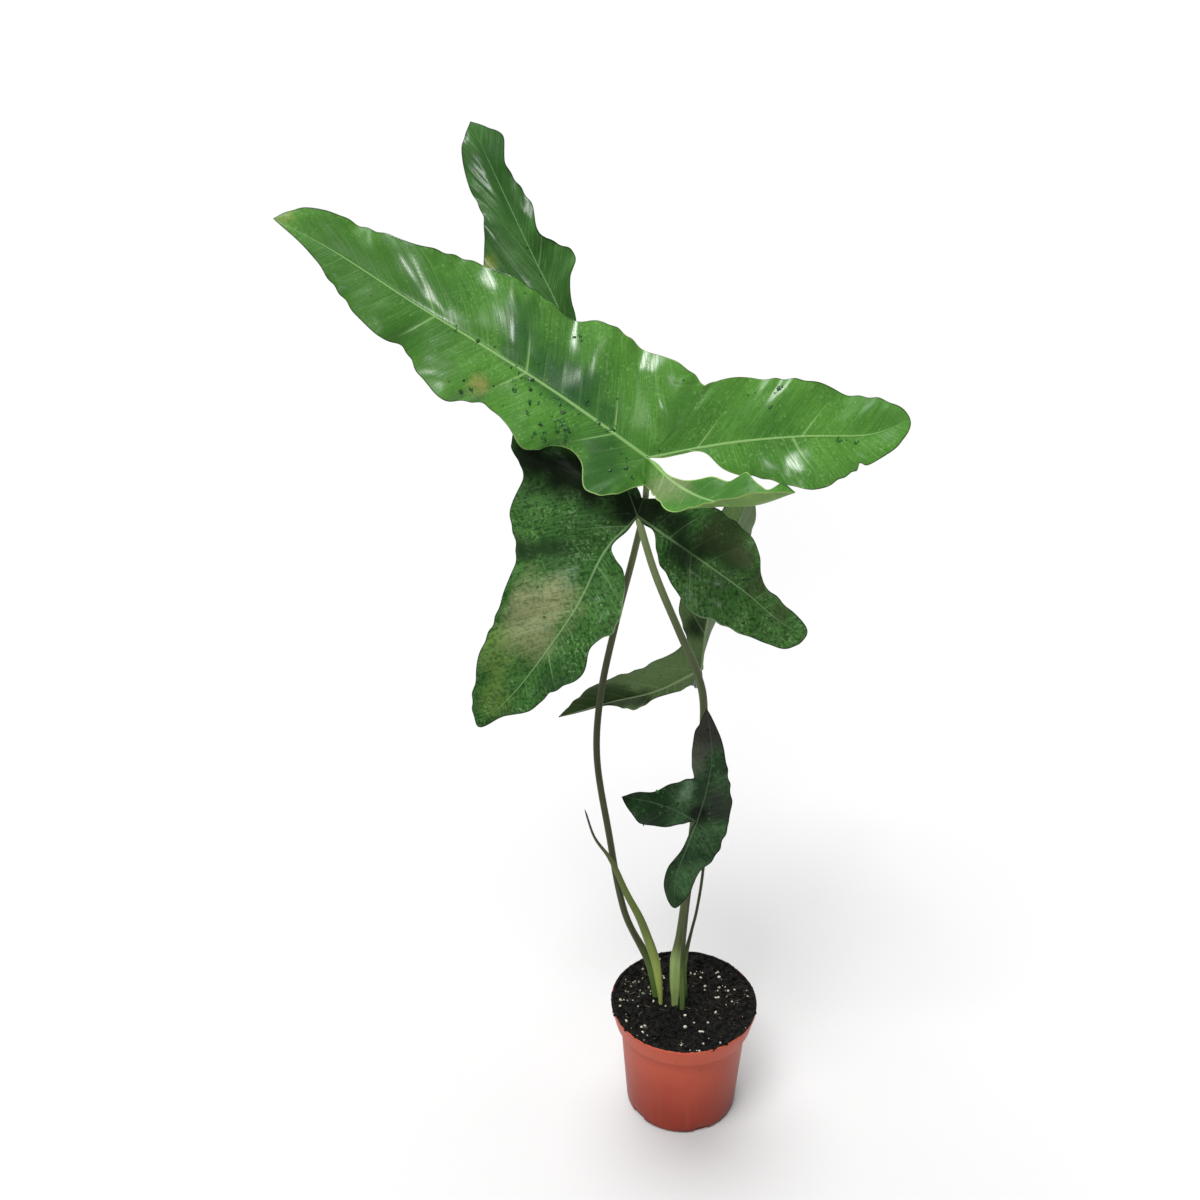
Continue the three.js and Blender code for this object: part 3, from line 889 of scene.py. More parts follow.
class Edge:
    """A line through margin points, measured by its length."""

    STEPS = 20

    def __init__(
        self,
        pieces: Sequence[Sequence[Margin]],
        before: Optional[np.ndarray] = None,
        after: Optional[np.ndarray] = None,
    ) -> None:
        """Joins pieces of margin into one line.

        Args:
            pieces: Runs of margin points with their lifts, each starting where the last ended.
            before: The margin point round the tip where the line starts.
            after: The margin point round the tip where the line ends.
        """
        bases, lifts = [], []
        for number, piece in enumerate(pieces):
            start = None if number else before
            end = after if number == len(pieces) - 1 else None
            flat, raised = (np.vstack(parts) for parts in zip(*piece))
            skip = 1 if number else 0
            bases.append(catmull_rom(flat, self.STEPS, 0.5, start, end)[skip:])
            lifts.append(catmull_rom(raised, self.STEPS, 0.0)[skip:])
        self.base = np.vstack(bases)
        self.lift = np.vstack(lifts)
        self.lengths = lengths_along(self.base)
        self.knots = self.lengths[:: self.STEPS]

    def along(self, knots: Sequence[int], counts: Sequence[int]) -> dict[str, np.ndarray]:
        """Points evenly spaced on each stretch between margin points.

        Args:
            knots: Numbers of the margin points at the stretches' ends.
            counts: Steps on each stretch.

        Returns:
            Points on the flat, their lifts, and their lengths along the line.
        """
        at = [self.knots[knots[0]]]
        for start, end, count in zip(knots, knots[1:], counts):
            at += np.linspace(self.knots[start], self.knots[end], count + 1)[1:].tolist()
        run = np.array(at)
        base, lift = (sample_line(run, self.lengths, line) for line in (self.base, self.lift))
        return {"base": base, "lift": lift, "run": run}


@dataclass
class Rows:
    """The rows of one panel of a blade: where each leaves its rib and where it ends."""

    origin: np.ndarray
    up: np.ndarray
    half: np.ndarray
    depth: np.ndarray
    rise: np.ndarray
    share: np.ndarray
    vein: np.ndarray
    lean: np.ndarray
    base: np.ndarray
    lift: np.ndarray
    run: np.ndarray


class Panel(Enum):
    """A quarter of a blade, named for its side and for what it lies between."""

    LEFT_WEB = 0
    LEFT_SINUS = 1
    RIGHT_WEB = 2
    RIGHT_SINUS = 3


@dataclass
class Sheet:
    """A panel's middle surface, with a column for each step from its rib to its margin."""

    rows: Rows
    panel: Panel
    reach: np.ndarray
    across: np.ndarray
    out: np.ndarray
    vein: np.ndarray
    grid: np.ndarray

    @property
    def pinched(self) -> np.ndarray:
        """The rows that have no width, at a tip or at the junction."""
        return self.reach < PINCH


@dataclass(frozen=True)
class Fold:
    """A tilted patch of a panel, which catches the light or turns away from it."""

    panel: Panel
    vein: float
    out: float
    slope: Pair
    size: Pair
    shine: float = 1.0


@dataclass(frozen=True)
class Wet:
    """Where drops stand on a leaf, how many to a square metre, and how big they are in metres."""

    spots: tuple[Quad, ...]
    density: float
    smallest: float
    largest: float


@dataclass(frozen=True)
class LeafPlan:
    """A leaf's ribs and margins, and how it is dressed. Pairs go from left to right."""

    name: str
    slot: str
    upper: LeafFinish
    under: LeafFinish
    front: RibPlan
    left: RibPlan
    right: RibPlan
    notch: tuple[Triple, Triple]
    fan: tuple[tuple[int, int], tuple[int, int]]
    front_margins: tuple[tuple[Triple, ...], tuple[Triple, ...]]
    outer_margins: tuple[tuple[Triple, ...], tuple[Triple, ...]]
    inner_margins: tuple[tuple[Triple, ...], tuple[Triple, ...]]
    wet: Optional[Wet] = None
    seed: int = 1
    quilt: float = 0.45
    swell: float = 0.9
    pleats: Quad = (0.6, 0.6, 0.6, 0.6)
    pleat_length: float = 62.0
    front_leans: tuple[Quad, Quad] = ((0.62, 0.76, 1.18, 1.87), (0.32, 0.46, 0.88, 1.57))
    rear_leans: tuple[Quad, Quad] = ((0.5, 0.56, 0.72, 1.0), (0.42, 0.48, 0.64, 0.92))
    folds: tuple[Fold, ...] = ()


@dataclass
class Blade:
    """A three-lobed blade: two webs between the lobes and the two sides of the sinus."""

    plan: LeafPlan
    thickness: float = 0.62
    edge_thickness: float = 0.42
    rib_half: float = 2.1
    rib_depth: float = 2.0
    rib_rise: float = 0.4
    keel_power: float = 0.65
    row_step: float = 1.7
    fewest_rows: int = 6
    arch: float = 0.035
    ruffle_power: float = 1.5
    near_columns: tuple[float, ...] = (0.0, 0.3, 0.55, 0.8, 1.0)
    far_columns: int = 17
    lip: float = 0.5
    blend: float = 3.2
    brim: float = 0.6
    least_half_turn: float = 14.0
    lean_at: Quad = (0.0, 0.333, 0.667, 1.0)
    vein_curve: float = 0.0065
    hollow_power: float = 2.4
    lump_sizes: Pair = (34.0, 15.0)
    ruffle: float = 0.45
    sway: float = 0.55
    merge: float = 0.001
    points: list[np.ndarray] = field(default_factory=list)
    faces: list[np.ndarray] = field(default_factory=list)
    numbers: list[np.ndarray] = field(default_factory=list)
    maps: dict[str, list[np.ndarray]] = field(
        default_factory=lambda: {"Veins": [], "Edge": [], "Shine": []}
    )

    def __post_init__(self) -> None:
        """Makes the ribs, numbered by their side, and the junction's facing."""
        plan = self.plan
        self.ribs = {0: Rib(plan.front), -1: Rib(plan.left), 1: Rib(plan.right)}
        ups = [rib.frames(np.zeros(1))[1][0] for rib in self.ribs.values()]
        self.junction_up = unit(np.sum(ups, axis=0))
        self.lumps = Lumps(plan.seed)

    def roots(self, rib: Rib) -> dict[str, np.ndarray]:
        """What each row takes from its rib, from the junction to the tip.

        Args:
            rib: The rib.

        Returns:
            Columns by name, with a value or a vector to each row.
        """
        count = max(self.fewest_rows, round(rib.length / self.row_step))
        share = np.linspace(0.0, 1.0, count + 1)
        origin, up, _ = rib.frames(share * rib.length)
        up[0] = self.junction_up
        slim = 1.0 - share
        return {
            "origin": origin,
            "up": up,
            "half": self.rib_half * (0.35 + 0.65 * slim),
            "depth": self.rib_depth * slim,
            "rise": self.rib_rise * np.minimum(1.0, 4.0 * slim),
            "share": share,
            "vein": share * rib.length,
        }

    def web(self, which: int, side: int, outer: Margin, inner: Margin) -> Rows:
        """Rows from the front rib's tip, fanned round the junction, to a rear rib's tip.

        Args:
            which: 0 for the left web and 1 for the right.
            side: The same as -1 or 1.
            outer: The rear lobe's margin on this web.
            inner: The rear lobe's margin on the sinus.

        Returns:
            The rows.
        """
        plan, front, rear = self.plan, self.ribs[0], self.ribs[side]
        own, far = (
            front.margin(s, plan.front_margins[k]) for s, k in ((side, which), (-side, 1 - which))
        )
        notch = front.margin(side, [plan.notch[which]])
        edge = Edge(
            [[front.tip, (own[0][::-1], own[1][::-1]), notch], [notch, outer, rear.tip]],
            far[0][-1] if front.blunt else None,
            inner[0][-1] if rear.blunt else None,
        )
        front_roots, rear_roots = self.roots(front), self.roots(rear)
        start, end = (len(own[0]) + 1 + k for k in plan.fan[which])
        fan_length = float(edge.knots[end] - edge.knots[start])
        fan_rows = round(fan_length / self.row_step)
        span = 0.5 * fan_length
        columns = {}
        for key, values in front_roots.items():
            middle, tail = np.repeat(values[:1], fan_rows, axis=0), rear_roots[key][1:]
            if key == "vein":
                middle = -span * np.linspace(0.0, 1.0, fan_rows + 1)[1:]
                tail = -span - tail
            columns[key] = np.concatenate([values[::-1], middle, tail])
        front_lean, rear_lean = (
            np.interp(columns["share"], self.lean_at, leans[which])
            for leans in (plan.front_leans, plan.rear_leans)
        )
        half_turn = max(0.5 * span, self.least_half_turn)
        ahead = smoothstep(columns["vein"] + 0.5 * span, -half_turn, half_turn)
        lean = front_lean * ahead - rear_lean * (1.0 - ahead)
        steps = (len(front_roots["share"]) - 1, fan_rows, len(rear_roots["share"]) - 1)
        return Rows(
            **columns, lean=lean, **edge.along((0, start, end, len(edge.knots) - 1), steps)
        )

    def sinus(self, which: int, side: int, outer: Margin, inner: Margin) -> Rows:
        """Rows from a rear rib's tip to the junction, on the side of the sinus.

        Args:
            which: 0 for the left lobe and 1 for the right.
            side: The same as -1 or 1.
            outer: The rear lobe's margin on its web.
            inner: The rear lobe's margin on the sinus.

        Returns:
            The rows.
        """
        rear = self.ribs[side]
        columns = {key: values[::-1].copy() for key, values in self.roots(rear).items()}
        margin = [rear.tip, (inner[0][::-1], inner[1][::-1]), self.ribs[0].start]
        edge = Edge([margin], outer[0][-1] if rear.blunt else None)
        lean = np.interp(columns["share"], self.lean_at, self.plan.rear_leans[which])
        ends = edge.along((0, len(edge.knots) - 1), (len(lean) - 1,))
        return Rows(**columns, lean=lean, **ends)

    def sheet(self, rows: Rows, panel: Panel) -> Sheet:
        """Spans a panel from its rib to its margin, before its relief.

        Args:
            rows: The panel's rows.
            panel: Which panel it is.

        Returns:
            The middle surface.
        """
        reach = np.linalg.norm(rows.base - rows.origin, axis=1)
        safe = np.maximum(reach, PINCH)
        rib_edge = np.minimum(0.45, rows.half / safe)[:, None]
        lip = 1.0 - np.minimum(0.25, self.lip / safe)[:, None]
        far = np.linspace(0.0, 1.0, self.far_columns + 1)[None, 1:] * lip
        far = rib_edge + (1.0 - rib_edge) * np.hstack([far, np.ones_like(lip)])
        across = np.hstack([rib_edge * np.array(self.near_columns)[None, :], far])
        out = across * reach[:, None]
        v = across[:, :, None]
        bow = self.arch * reach[:, None, None] * 4.0 * v * (1.0 - v)
        grid = rows.origin[:, None] * (1.0 - v) + rows.base[:, None] * v
        grid = grid + rows.lift[:, None] * v**self.ruffle_power + rows.up[:, None] * bow
        vein = rows.vein[:, None] - rows.lean[:, None] * (out + self.vein_curve * out**2)
        return Sheet(rows, panel, reach, across, out, vein, grid)

    def folded(self, sheet: Sheet) -> tuple[np.ndarray, np.ndarray]:
        """Adds up a panel's folds.

        Args:
            sheet: The panel's middle surface.

        Returns:
            Height of the folds in millimetres, and how much the skin shines.
        """
        height, shine = np.zeros_like(sheet.vein), np.zeros_like(sheet.vein)
        for fold in self.plan.folds:
            if fold.panel is sheet.panel:
                along, away = sheet.vein - fold.vein, sheet.out - fold.out
                spread = (along / fold.size[0]) ** 2 + (away / fold.size[1]) ** 2
                height += (fold.slope[0] * along + fold.slope[1] * away) * np.exp(-0.5 * spread)
                shine = np.maximum(shine, fold.shine * np.exp(-0.2 * spread))
        return height, shine

    def relief(self, sheet: Sheet, wave: np.ndarray) -> tuple[np.ndarray, np.ndarray]:
        """Quilting between the side veins, swells, pleats, ruffles and folds.

        Args:
            sheet: The panel's middle surface.
            wave: The ripple of its margin.

        Returns:
            Heights in millimetres, and how much the skin shines.
        """
        plan, across, out, number = self.plan, sheet.across, sheet.out, sheet.panel.value
        cycle = sheet.vein / plan.upper.side_spacing
        hollow = np.abs(2.0 * (cycle - np.floor(cycle)) - 1.0) ** self.hollow_power
        wide, small = self.lump_sizes
        lumps = self.lumps.at(sheet.grid, wide) + 0.5 * self.lumps.at(sheet.grid + 7.0, small)
        height = plan.quilt * (1.0 - hollow) + plan.swell * lumps
        height = height * smoothstep(out, 2.0, 13.0) * (1.0 - 0.75 * smoothstep(across, 0.72, 1.0))
        turns = FULL_TURN * sheet.vein / plan.pleat_length + 1.7 * number
        pleats = plan.pleats[number] * (np.sin(turns) + 0.35 * np.sin(2.3 * turns + 1.0))
        pleats = pleats * smoothstep(across, 0.08, 0.6)
        height = height + pleats * smoothstep(sheet.reach, 8.0, 30.0)[:, None]
        height = height + self.ruffle * wave[:, None] * smoothstep(across, 0.6, 1.0)
        folds, shine = self.folded(sheet)
        height = height + folds * smoothstep(out, 1.0, 8.0)
        height[sheet.pinched] = 0.0
        return height, shine

    def add_panel(self, rows: Rows, side: int, panel: Panel) -> None:
        """Adds a panel's two faces and its brim.

        Args:
            rows: The panel's rows.
            side: 1 for the right of the leaf and -1 for the left.
            panel: Which panel it is.
        """
        sheet = self.sheet(rows, panel)
        across, out, pinched = sheet.across, sheet.out, sheet.pinched
        along, outward = np.gradient(sheet.grid, axis=(0, 1))
        blend = smoothstep(out, 0.0, self.blend)[:, :, None]
        up = rows.up[:, None]
        normal = unit(unit(np.cross(along, outward) * side) * blend + up * (1.0 - blend))
        normal[pinched] = up[pinched]

        wave = np.sin(rows.run / 3.1 + 2.0 * np.sin(rows.run / 9.7))
        wave = wave * smoothstep(sheet.reach, 3.0, 14.0)
        height, shine = self.relief(sheet, wave)
        sway = self.sway * np.roll(wave, 2)[:, None] * smoothstep(across, 0.75, 1.0)
        sway[pinched] = 0.0
        grid = sheet.grid + normal * height[:, :, None] + unit(outward) * sway[:, :, None]

        within = np.clip(out / rows.half[:, None], 0.0, 1.0)
        within[pinched] = 0.0
        half = 0.5 * (self.thickness + (self.edge_thickness - self.thickness) * across**2)
        half[pinched] = 0.5 * self.thickness
        ridge = 0.5 * (1.0 + np.cos(math.pi * within))
        keel = (1.0 - within**2) ** self.keel_power
        top = grid + normal * (half + rows.rise[:, None] * ridge)[:, :, None]
        bottom = grid - normal * (half + rows.depth[:, None] * keel)[:, :, None]
        push = unit(outward[:, -1]) * (self.brim * half[:, -1])[:, None]
        push[pinched] = 0.0
        brim = 0.5 * (top[:, -1] + bottom[:, -1]) + push

        start = sum(len(points) for points in self.points)
        top_at = start + np.arange(across.size).reshape(across.shape)
        low_at = top_at + across.size
        brim_at = start + 2 * across.size + np.arange(len(brim))
        self.points += [top.reshape(-1, 3), bottom.reshape(-1, 3), brim]
        share = np.broadcast_to(rows.share[:, None], out.shape)
        to_edge = (1.0 - across) * sheet.reach[:, None]
        maps = {"Veins": (sheet.vein, out), "Edge": (to_edge, share), "Shine": (shine, across)}
        for layer, pair in maps.items():
            both = np.stack(pair, axis=-1)
            self.maps[layer] += [both.reshape(-1, 2), both.reshape(-1, 2), both[:, -1]]
        mirrored = side < 0
        upper_brim = np.stack([top_at[:, -1], brim_at], axis=1)
        lower_brim = np.stack([brim_at, low_at[:, -1]], axis=1)
        for index, turned, number in (
            (top_at, mirrored, 0),
            (low_at, not mirrored, 1),
            (upper_brim, mirrored, 0),
            (lower_brim, mirrored, 1),
        ):
            self.faces.append(grid_quads(index, turned))
            self.numbers.append(np.full(len(self.faces[-1]), number))

    def build(self) -> bpy.types.Object:
        """Makes the blade as one closed piece, with the points of its panels merged.

        Returns:
            The blade.
        """
        plan = self.plan
        for which, side in enumerate((-1, 1)):
            outer = self.ribs[side].margin(-side, plan.outer_margins[which])
            inner = self.ribs[side].margin(side, plan.inner_margins[which])
            web, sinus = (build(which, side, outer, inner) for build in (self.web, self.sinus))
            self.add_panel(web, side, Panel(2 * which))
            self.add_panel(sinus, side, Panel(2 * which + 1))
        points, faces, numbers = (
            np.concatenate(parts) for parts in (self.points, self.faces, self.numbers)
        )
        keys = np.round(points / self.merge).astype(np.int64)
        _, first, merged = np.unique(keys, axis=0, return_index=True, return_inverse=True)
        welded = merged.reshape(-1)[faces]
        kept = welded != np.roll(welded, -1, axis=1)
        whole = kept.sum(axis=1) >= 3
        faces, welded, kept, numbers = (a[whole] for a in (faces, welded, kept, numbers))
        face_list = [row[keep].tolist() for row, keep in zip(welded, kept)]
        maps = {layer: np.vstack(rows)[faces[kept]] for layer, rows in self.maps.items()}
        skins = (plan.upper, plan.under)
        piece = mesh_object(
            f"blade_{plan.name}", points[first], face_list, skins, numbers, maps, 1.2
        )
        return place(piece, plan.slot, f"leaf_{plan.name}")


@dataclass(frozen=True)
class StemPlan:
    """A stem's centreline and radius from its foot in the soil upwards."""

    name: str
    slot: str
    node: str
    finish: StemFinish
    points: tuple[Quad, ...]
    sheath_top: float
    sheath_side: float
    sheath_swell: float = 0.25
    groove: float = 0.3
    withered: float = 0.0
    closes_in: float = 3.0


@dataclass
class Stem:
    """A petiole or sheath, clasping at its foot."""

    plan: StemPlan
    sides: int = 28
    step: float = 2.0
    foot_z: float = 84.0
    sheath_fade: float = 30.0
    groove_half: float = 0.3
    ridges: int = 11
    ridge_height: float = 0.02

    def outline(self, angle: np.ndarray, height: np.ndarray) -> np.ndarray:
        """The section's shape.

        Args:
            angle: Angles round the stem.
            height: Heights above the ground.

        Returns:
            Distances from the middle, as a share of the radius.
        """
        plan = self.plan
        sheath = 1.0 - smoothstep(height, plan.sheath_top - self.sheath_fade, plan.sheath_top)
        apart = np.abs((angle - plan.sheath_side + math.pi) % FULL_TURN - math.pi)
        slit = np.exp(-((apart / self.groove_half) ** 2))
        shape = 1.0 + sheath * (plan.sheath_swell * np.abs(np.cos(angle)) - plan.groove * slit)
        crumpled = np.sin(3.0 * angle + height / 17.0) * 0.5
        crumpled = crumpled + np.sin(5.0 * angle - height / 9.0) * 0.3
        return shape + self.ridge_height * np.sin(self.ridges * angle) + plan.withered * crumpled

    def turns(self, at: np.ndarray) -> np.ndarray:
        """The map round the stem and along it.

        Args:
            at: Length along the stem of each ring.

        Returns:
            A row for each corner of the tube's quads and of the fans at its foot and top.
        """
        closed = np.stack(np.meshgrid(np.linspace(0.0, 1.0, self.sides + 1), at[:-1]), axis=-1)
        index = np.arange(closed[..., 0].size).reshape(closed.shape[:2])
        rows = [closed.reshape(-1, 2)[grid_quads(index, turned=True)].reshape(-1, 2)]
        a, b = closed[0, :-1, 0], closed[0, 1:, 0]
        for fan, height in (((a, b, a), 0.0), ((a, a, b), at[-1])):
            turn = np.stack(fan, axis=1).ravel()
            rows.append(np.stack([turn, np.full_like(turn, height)], axis=1))
        return np.vstack(rows)

    def build(self) -> None:
        """Makes the stem as one closed tube."""
        plan = self.plan
        points = np.array(plan.points, float)
        foot = points[0] + (points[0] - points[1]) * 0.3
        foot[2], foot[3] = self.foot_z, points[0, 3]
        line = catmull_rom(np.vstack([foot, points]), 30, 0.5)
        lengths = lengths_along(line)
        at = np.linspace(0.0, lengths[-1], round(lengths[-1] / self.step) + 1)
        samples = sample_line(at, lengths, line)
        centre, radius = samples[:, :3], samples[:, 3:]
        along = unit(np.gradient(centre, at, axis=0))
        right = unit(np.cross(np.array([0.0, 1.0, 0.0]), along))
        front = np.cross(along, right)

        angle = circle(self.sides)[None, :]
        closing = np.sqrt(np.clip((lengths[-1] - at) / plan.closes_in, 0.0, 1.0))[:, None]
        reach = radius * self.outline(angle, centre[:, 2:]) * closing
        rings = centre[:, None] + right[:, None] * (reach * np.cos(angle))[:, :, None]
        rings = rings + front[:, None] * (reach * np.sin(angle))[:, :, None]
        vertices, faces = capped(rings[:-1], centre[0], centre[-1])
        maps = {"Stem": self.turns(at)}
        piece = mesh_object(plan.name, vertices, faces, [plan.finish], None, maps)
        place(piece, plan.slot, plan.node)


@dataclass
class Pot:
    """A 12 cm nursery pot with a flared band, a slim rim and drain arches at its foot."""

    top_radius: float = 60.0
    band_radius: float = 56.5
    wall_radius: float = 52.0
    base_radius: float = 46.0
    height: float = 103.0
    band_height: float = 17.0
    step: float = 2.5
    wall: float = 1.4
    floor: float = 1.8
    recess: float = 0.7
    segments: int = 288
    corner_steps: int = 7
    longest_cut: float = 4.5
    arch_count: int = 5
    arch_start: float = 221.0
    arch_half_width: float = 7.0
    arch_height: float = 3.4
    arch_dent: float = 1.5
    arch_inner: float = 43.4
    dent_fade: Pair = (3.0, 8.0)

    def profile(self) -> np.ndarray:
        """Rounds the corners of the wall's outline.

        Returns:
            Points from the middle of the base, out, up and back inside.
        """
        band = self.height - self.band_height
        top, inner = self.top_radius, self.top_radius - self.wall
        corners = [
            (0.0, self.recess, 0.0),
            (35.0, self.recess, 0.5),
            (36.0, 0.0, 0.5),
            (self.base_radius - 0.35, 0.0, 4.0),
            (self.wall_radius, band - self.step, 3.0),
            (self.band_radius, band, 1.2),
            (top - 0.55, self.height - 3.4, 0.6),
            (top, self.height - 2.9, 0.5),
            (top, self.height, 0.7),
            (inner, self.height, 0.5),
            (inner - 0.5, self.height - 3.0, 1.0),
            (self.band_radius - self.wall, band + 0.7, 1.0),
            (self.wall_radius - self.wall, band - self.step + 0.7, 1.0),
            (self.base_radius - self.wall, 4.6, 1.0),
            (self.base_radius - 4.5, self.floor, 0.5),
            (0.0, self.floor, 0.0),
        ]
        points = [np.array(corners[0][:2])]
        for before, corner, after in zip(corners, corners[1:], corners[2:]):
            here = np.array(corner[:2])
            back, ahead = (unit(np.array(other[:2]) - here) for other in (before, after))
            half_angle = 0.5 * math.acos(float(np.clip(back @ ahead, -1.0, 1.0)))
            cut = min(corner[2] / math.tan(half_angle), self.longest_cut)
            first, last = here + back * cut, here + ahead * cut
            for t in np.linspace(0.0, 1.0, self.corner_steps):
                points.append((1 - t) ** 2 * first + 2 * t * (1 - t) * here + t * t * last)
        points.append(np.array(corners[-1][:2]))
        return self.spread(points)

    def spread(self, points: list[np.ndarray]) -> np.ndarray:
        """Cuts up the outline's straight stretches, finely round the foot.

        Args:
            points: The outline's points.

        Returns:
            The points with those between them.
        """
        spread = [points[0]]
        for a, b in zip(points, points[1:]):
            near_foot = max(a[1], b[1]) < 5.0 and min(a[0], b[0]) > 30.0
            longest = 0.5 if near_foot else 5.0
            pieces = max(1, math.ceil(float(np.linalg.norm(b - a)) / longest))
            spread += [a + (b - a) * (k + 1) / pieces for k in range(pieces)]
        return np.array(spread)

    def build(self) -> None:
        """Makes the pot as one closed shell."""
        outline = self.profile()[1:-1]
        angle = circle(self.segments)
        radius, height = (np.repeat(column[:, None], self.segments, axis=1) for column in outline.T)
        outer = np.arange(len(outline))[:, None] <= int(np.argmax(outline[:, 0]))
        spacing = FULL_TURN / self.arch_count
        start = math.radians(self.arch_start)
        apart = np.abs((angle - start + spacing / 2) % spacing - spacing / 2)[None, :]
        opening = 1.0 - np.clip(apart * self.base_radius / self.arch_half_width, 0.0, 1.0) ** 4
        opening = opening * smoothstep(radius, self.arch_inner, self.arch_inner + 1.0)
        radius = radius - self.arch_dent * opening * outer * (
            1.0 - smoothstep(height, *self.dent_fade)
        )
        arch = self.arch_height * opening
        height = np.where(outer & (height < arch), arch, height)
        wobble = 0.12 * np.sin(3.0 * angle + 0.7) + 0.08 * np.sin(5.0 * angle)
        radius = radius + wobble[None, :] * smoothstep(height, 40.0, self.height)
        rings = polar(radius, angle[None, :], height)
        points, faces = capped(rings, (0.0, 0.0, self.recess), (0.0, 0.0, self.floor))
        piece = mesh_object("nursery_pot", points, faces, [PotFinish()], None, None, 0.9)
        place(piece, "pot", "pot")


class Grain(Enum):
    """What a scatter is made of."""

    CRUMB = "crumb"
    PERLITE = "perlite"
    FIBRE = "fibre"
    DROP = "drop"


@dataclass
class Scatter:
    """Grains strewn over a surface by a node tree: so many to a square metre, sized in metres."""

    name: str
    grain: Grain
    finish: Finish
    density: float
    smallest: float
    largest: float
    seed: int
    roughen: float = 0.35
    flatness: float = 0.7

    @property
    def inputs(self) -> dict[str, Any]:
        """The tree's named inputs.

        Returns:
            Their values.
        """
        return {
            "Density": self.density,
            "Smallest": self.smallest,
            "Largest": self.largest,
            "Roughen": self.roughen * self.largest,
            "Flatness": self.flatness,
            "Seed": self.seed,
        }

    def tree(self) -> tuple[bpy.types.NodeTree, dict[str, str]]:
        """Builds the node tree.

        Returns:
            The tree, and the identifier of each named input.
        """
        tree = bpy.data.node_groups.new(f"strew_{self.name}", "GeometryNodeTree")

        def socket(name: str, kind: str, way: str = "INPUT") -> str:
            """Adds a socket to the tree's outside."""
            made = tree.interface.new_socket(name, in_out=way, socket_type=f"NodeSocket{kind}")
            return made.identifier

        def add(
            kind: str, inputs: dict[Any, Any], output: Union[str, int] = 0, **settings: Any
        ) -> bpy.types.NodeSocket:
            """Adds a node and hands back one of its outputs."""
            return add_node(tree, kind, settings, inputs).outputs[output]

        def drawn(low: Any, high: Any, seed: Any, kind: str, first: int) -> bpy.types.NodeSocket:
            """A random value between two."""
            inputs = {first: low, first + 1: high, "Seed": seed}
            return add("FunctionNodeRandomValue", inputs, first // 2, data_type=kind)

        socket("Surface", "Geometry")
        ids = {
            name: socket(name, "Int" if isinstance(value, int) else "Float")
            for name, value in self.inputs.items()
        }
        socket("Grains", "Geometry", "OUTPUT")
        given = tree.nodes.new("NodeGroupInput").outputs
        spread = {"Mesh": given["Surface"], "Density": given["Density"], "Seed": given["Seed"]}
        points = add_node(tree, "GeometryNodeDistributePointsOnFaces", {}, spread).outputs
        if self.grain is Grain.DROP:
            rotation = points["Rotation"]
        else:
            tilt, seed = (0.5, 9) if self.grain is Grain.FIBRE else (HALF_TURN, 5)
            limit = (tilt, tilt, HALF_TURN)
            rotation = drawn(tuple(-a for a in limit), limit, seed, "FLOAT_VECTOR", 0)
        if self.grain is Grain.FIBRE:
            ends = {"Resolution": 7, "Start": (-1, 0, 0), "Middle": (0.1, 0.9, 0.35)}
            bend = add("GeometryNodeCurveQuadraticBezier", {**ends, "End": (1, 0, 0)})
            ring = add("GeometryNodeCurvePrimitiveCircle", {"Resolution": 5, "Radius": 0.035})
            tube = {"Curve": bend, "Profile Curve": ring, "Fill Caps": True}
            shape = add("GeometryNodeCurveToMesh", tube)
        else:
            shape = add("GeometryNodeMeshIcoSphere", {"Radius": 1.0, "Subdivisions": 2})
        size = drawn(given["Smallest"], given["Largest"], given["Seed"], "FLOAT", 2)
        flat = add("ShaderNodeCombineXYZ", {0: 1.0, 1: 1.0, 2: given["Flatness"]})
        scale = add("ShaderNodeVectorMath", {0: flat, "Scale": size}, operation="SCALE")
        laid = {"Points": points["Points"], "Instance": shape, "Rotation": rotation, "Scale": scale}
        grains = add("GeometryNodeInstanceOnPoints", laid)
        real = add("GeometryNodeRealizeInstances", {"Geometry": grains})
        where = add("GeometryNodeInputPosition", {})
        bumps = {"Vector": where, "Scale": 0.9 / self.largest, "Detail": 1.0}
        cloud = add("ShaderNodeTexNoise", bumps, "Color")
        centred = add("ShaderNodeVectorMath", {0: cloud, 1: (0.5, 0.5, 0.5)}, operation="SUBTRACT")
        push = {0: centred, "Scale": given["Roughen"]}
        push = add("ShaderNodeVectorMath", push, operation="SCALE")
        moved = add("GeometryNodeSetPosition", {"Geometry": real, "Offset": push})
        soft = {"Geometry": moved, "Shade Smooth": self.grain is not Grain.PERLITE}
        smooth = add("GeometryNodeSetShadeSmooth", soft)
        coat = {"Geometry": smooth, "Material": material_of(self.finish)}
        dressed = add("GeometryNodeSetMaterial", coat)
        add_node(tree, "NodeGroupOutput", {}, {0: dressed})
        return tree, ids

    def build(self, surface: bpy.types.Object, slot: str) -> bpy.types.Object:
        """Strews the grains and keeps them as a plain mesh.

        Args:
            surface: The surface they lie on, which is used up.
            slot: The record's material slot.

        Returns:
            The grains.
        """
        tree, ids = self.tree()
        strew = surface.modifiers.new("strew", "NODES")
        strew.node_group = tree
        for name, value in self.inputs.items():
            strew[ids[name]] = value
        graph = bpy.context.evaluated_depsgraph_get()
        mesh = bpy.data.meshes.new_from_object(surface.evaluated_get(graph))
        surface.modifiers.remove(strew)
        bpy.data.objects.remove(surface)
        mesh.name = self.name
        return place(linked(self.name, mesh), slot)


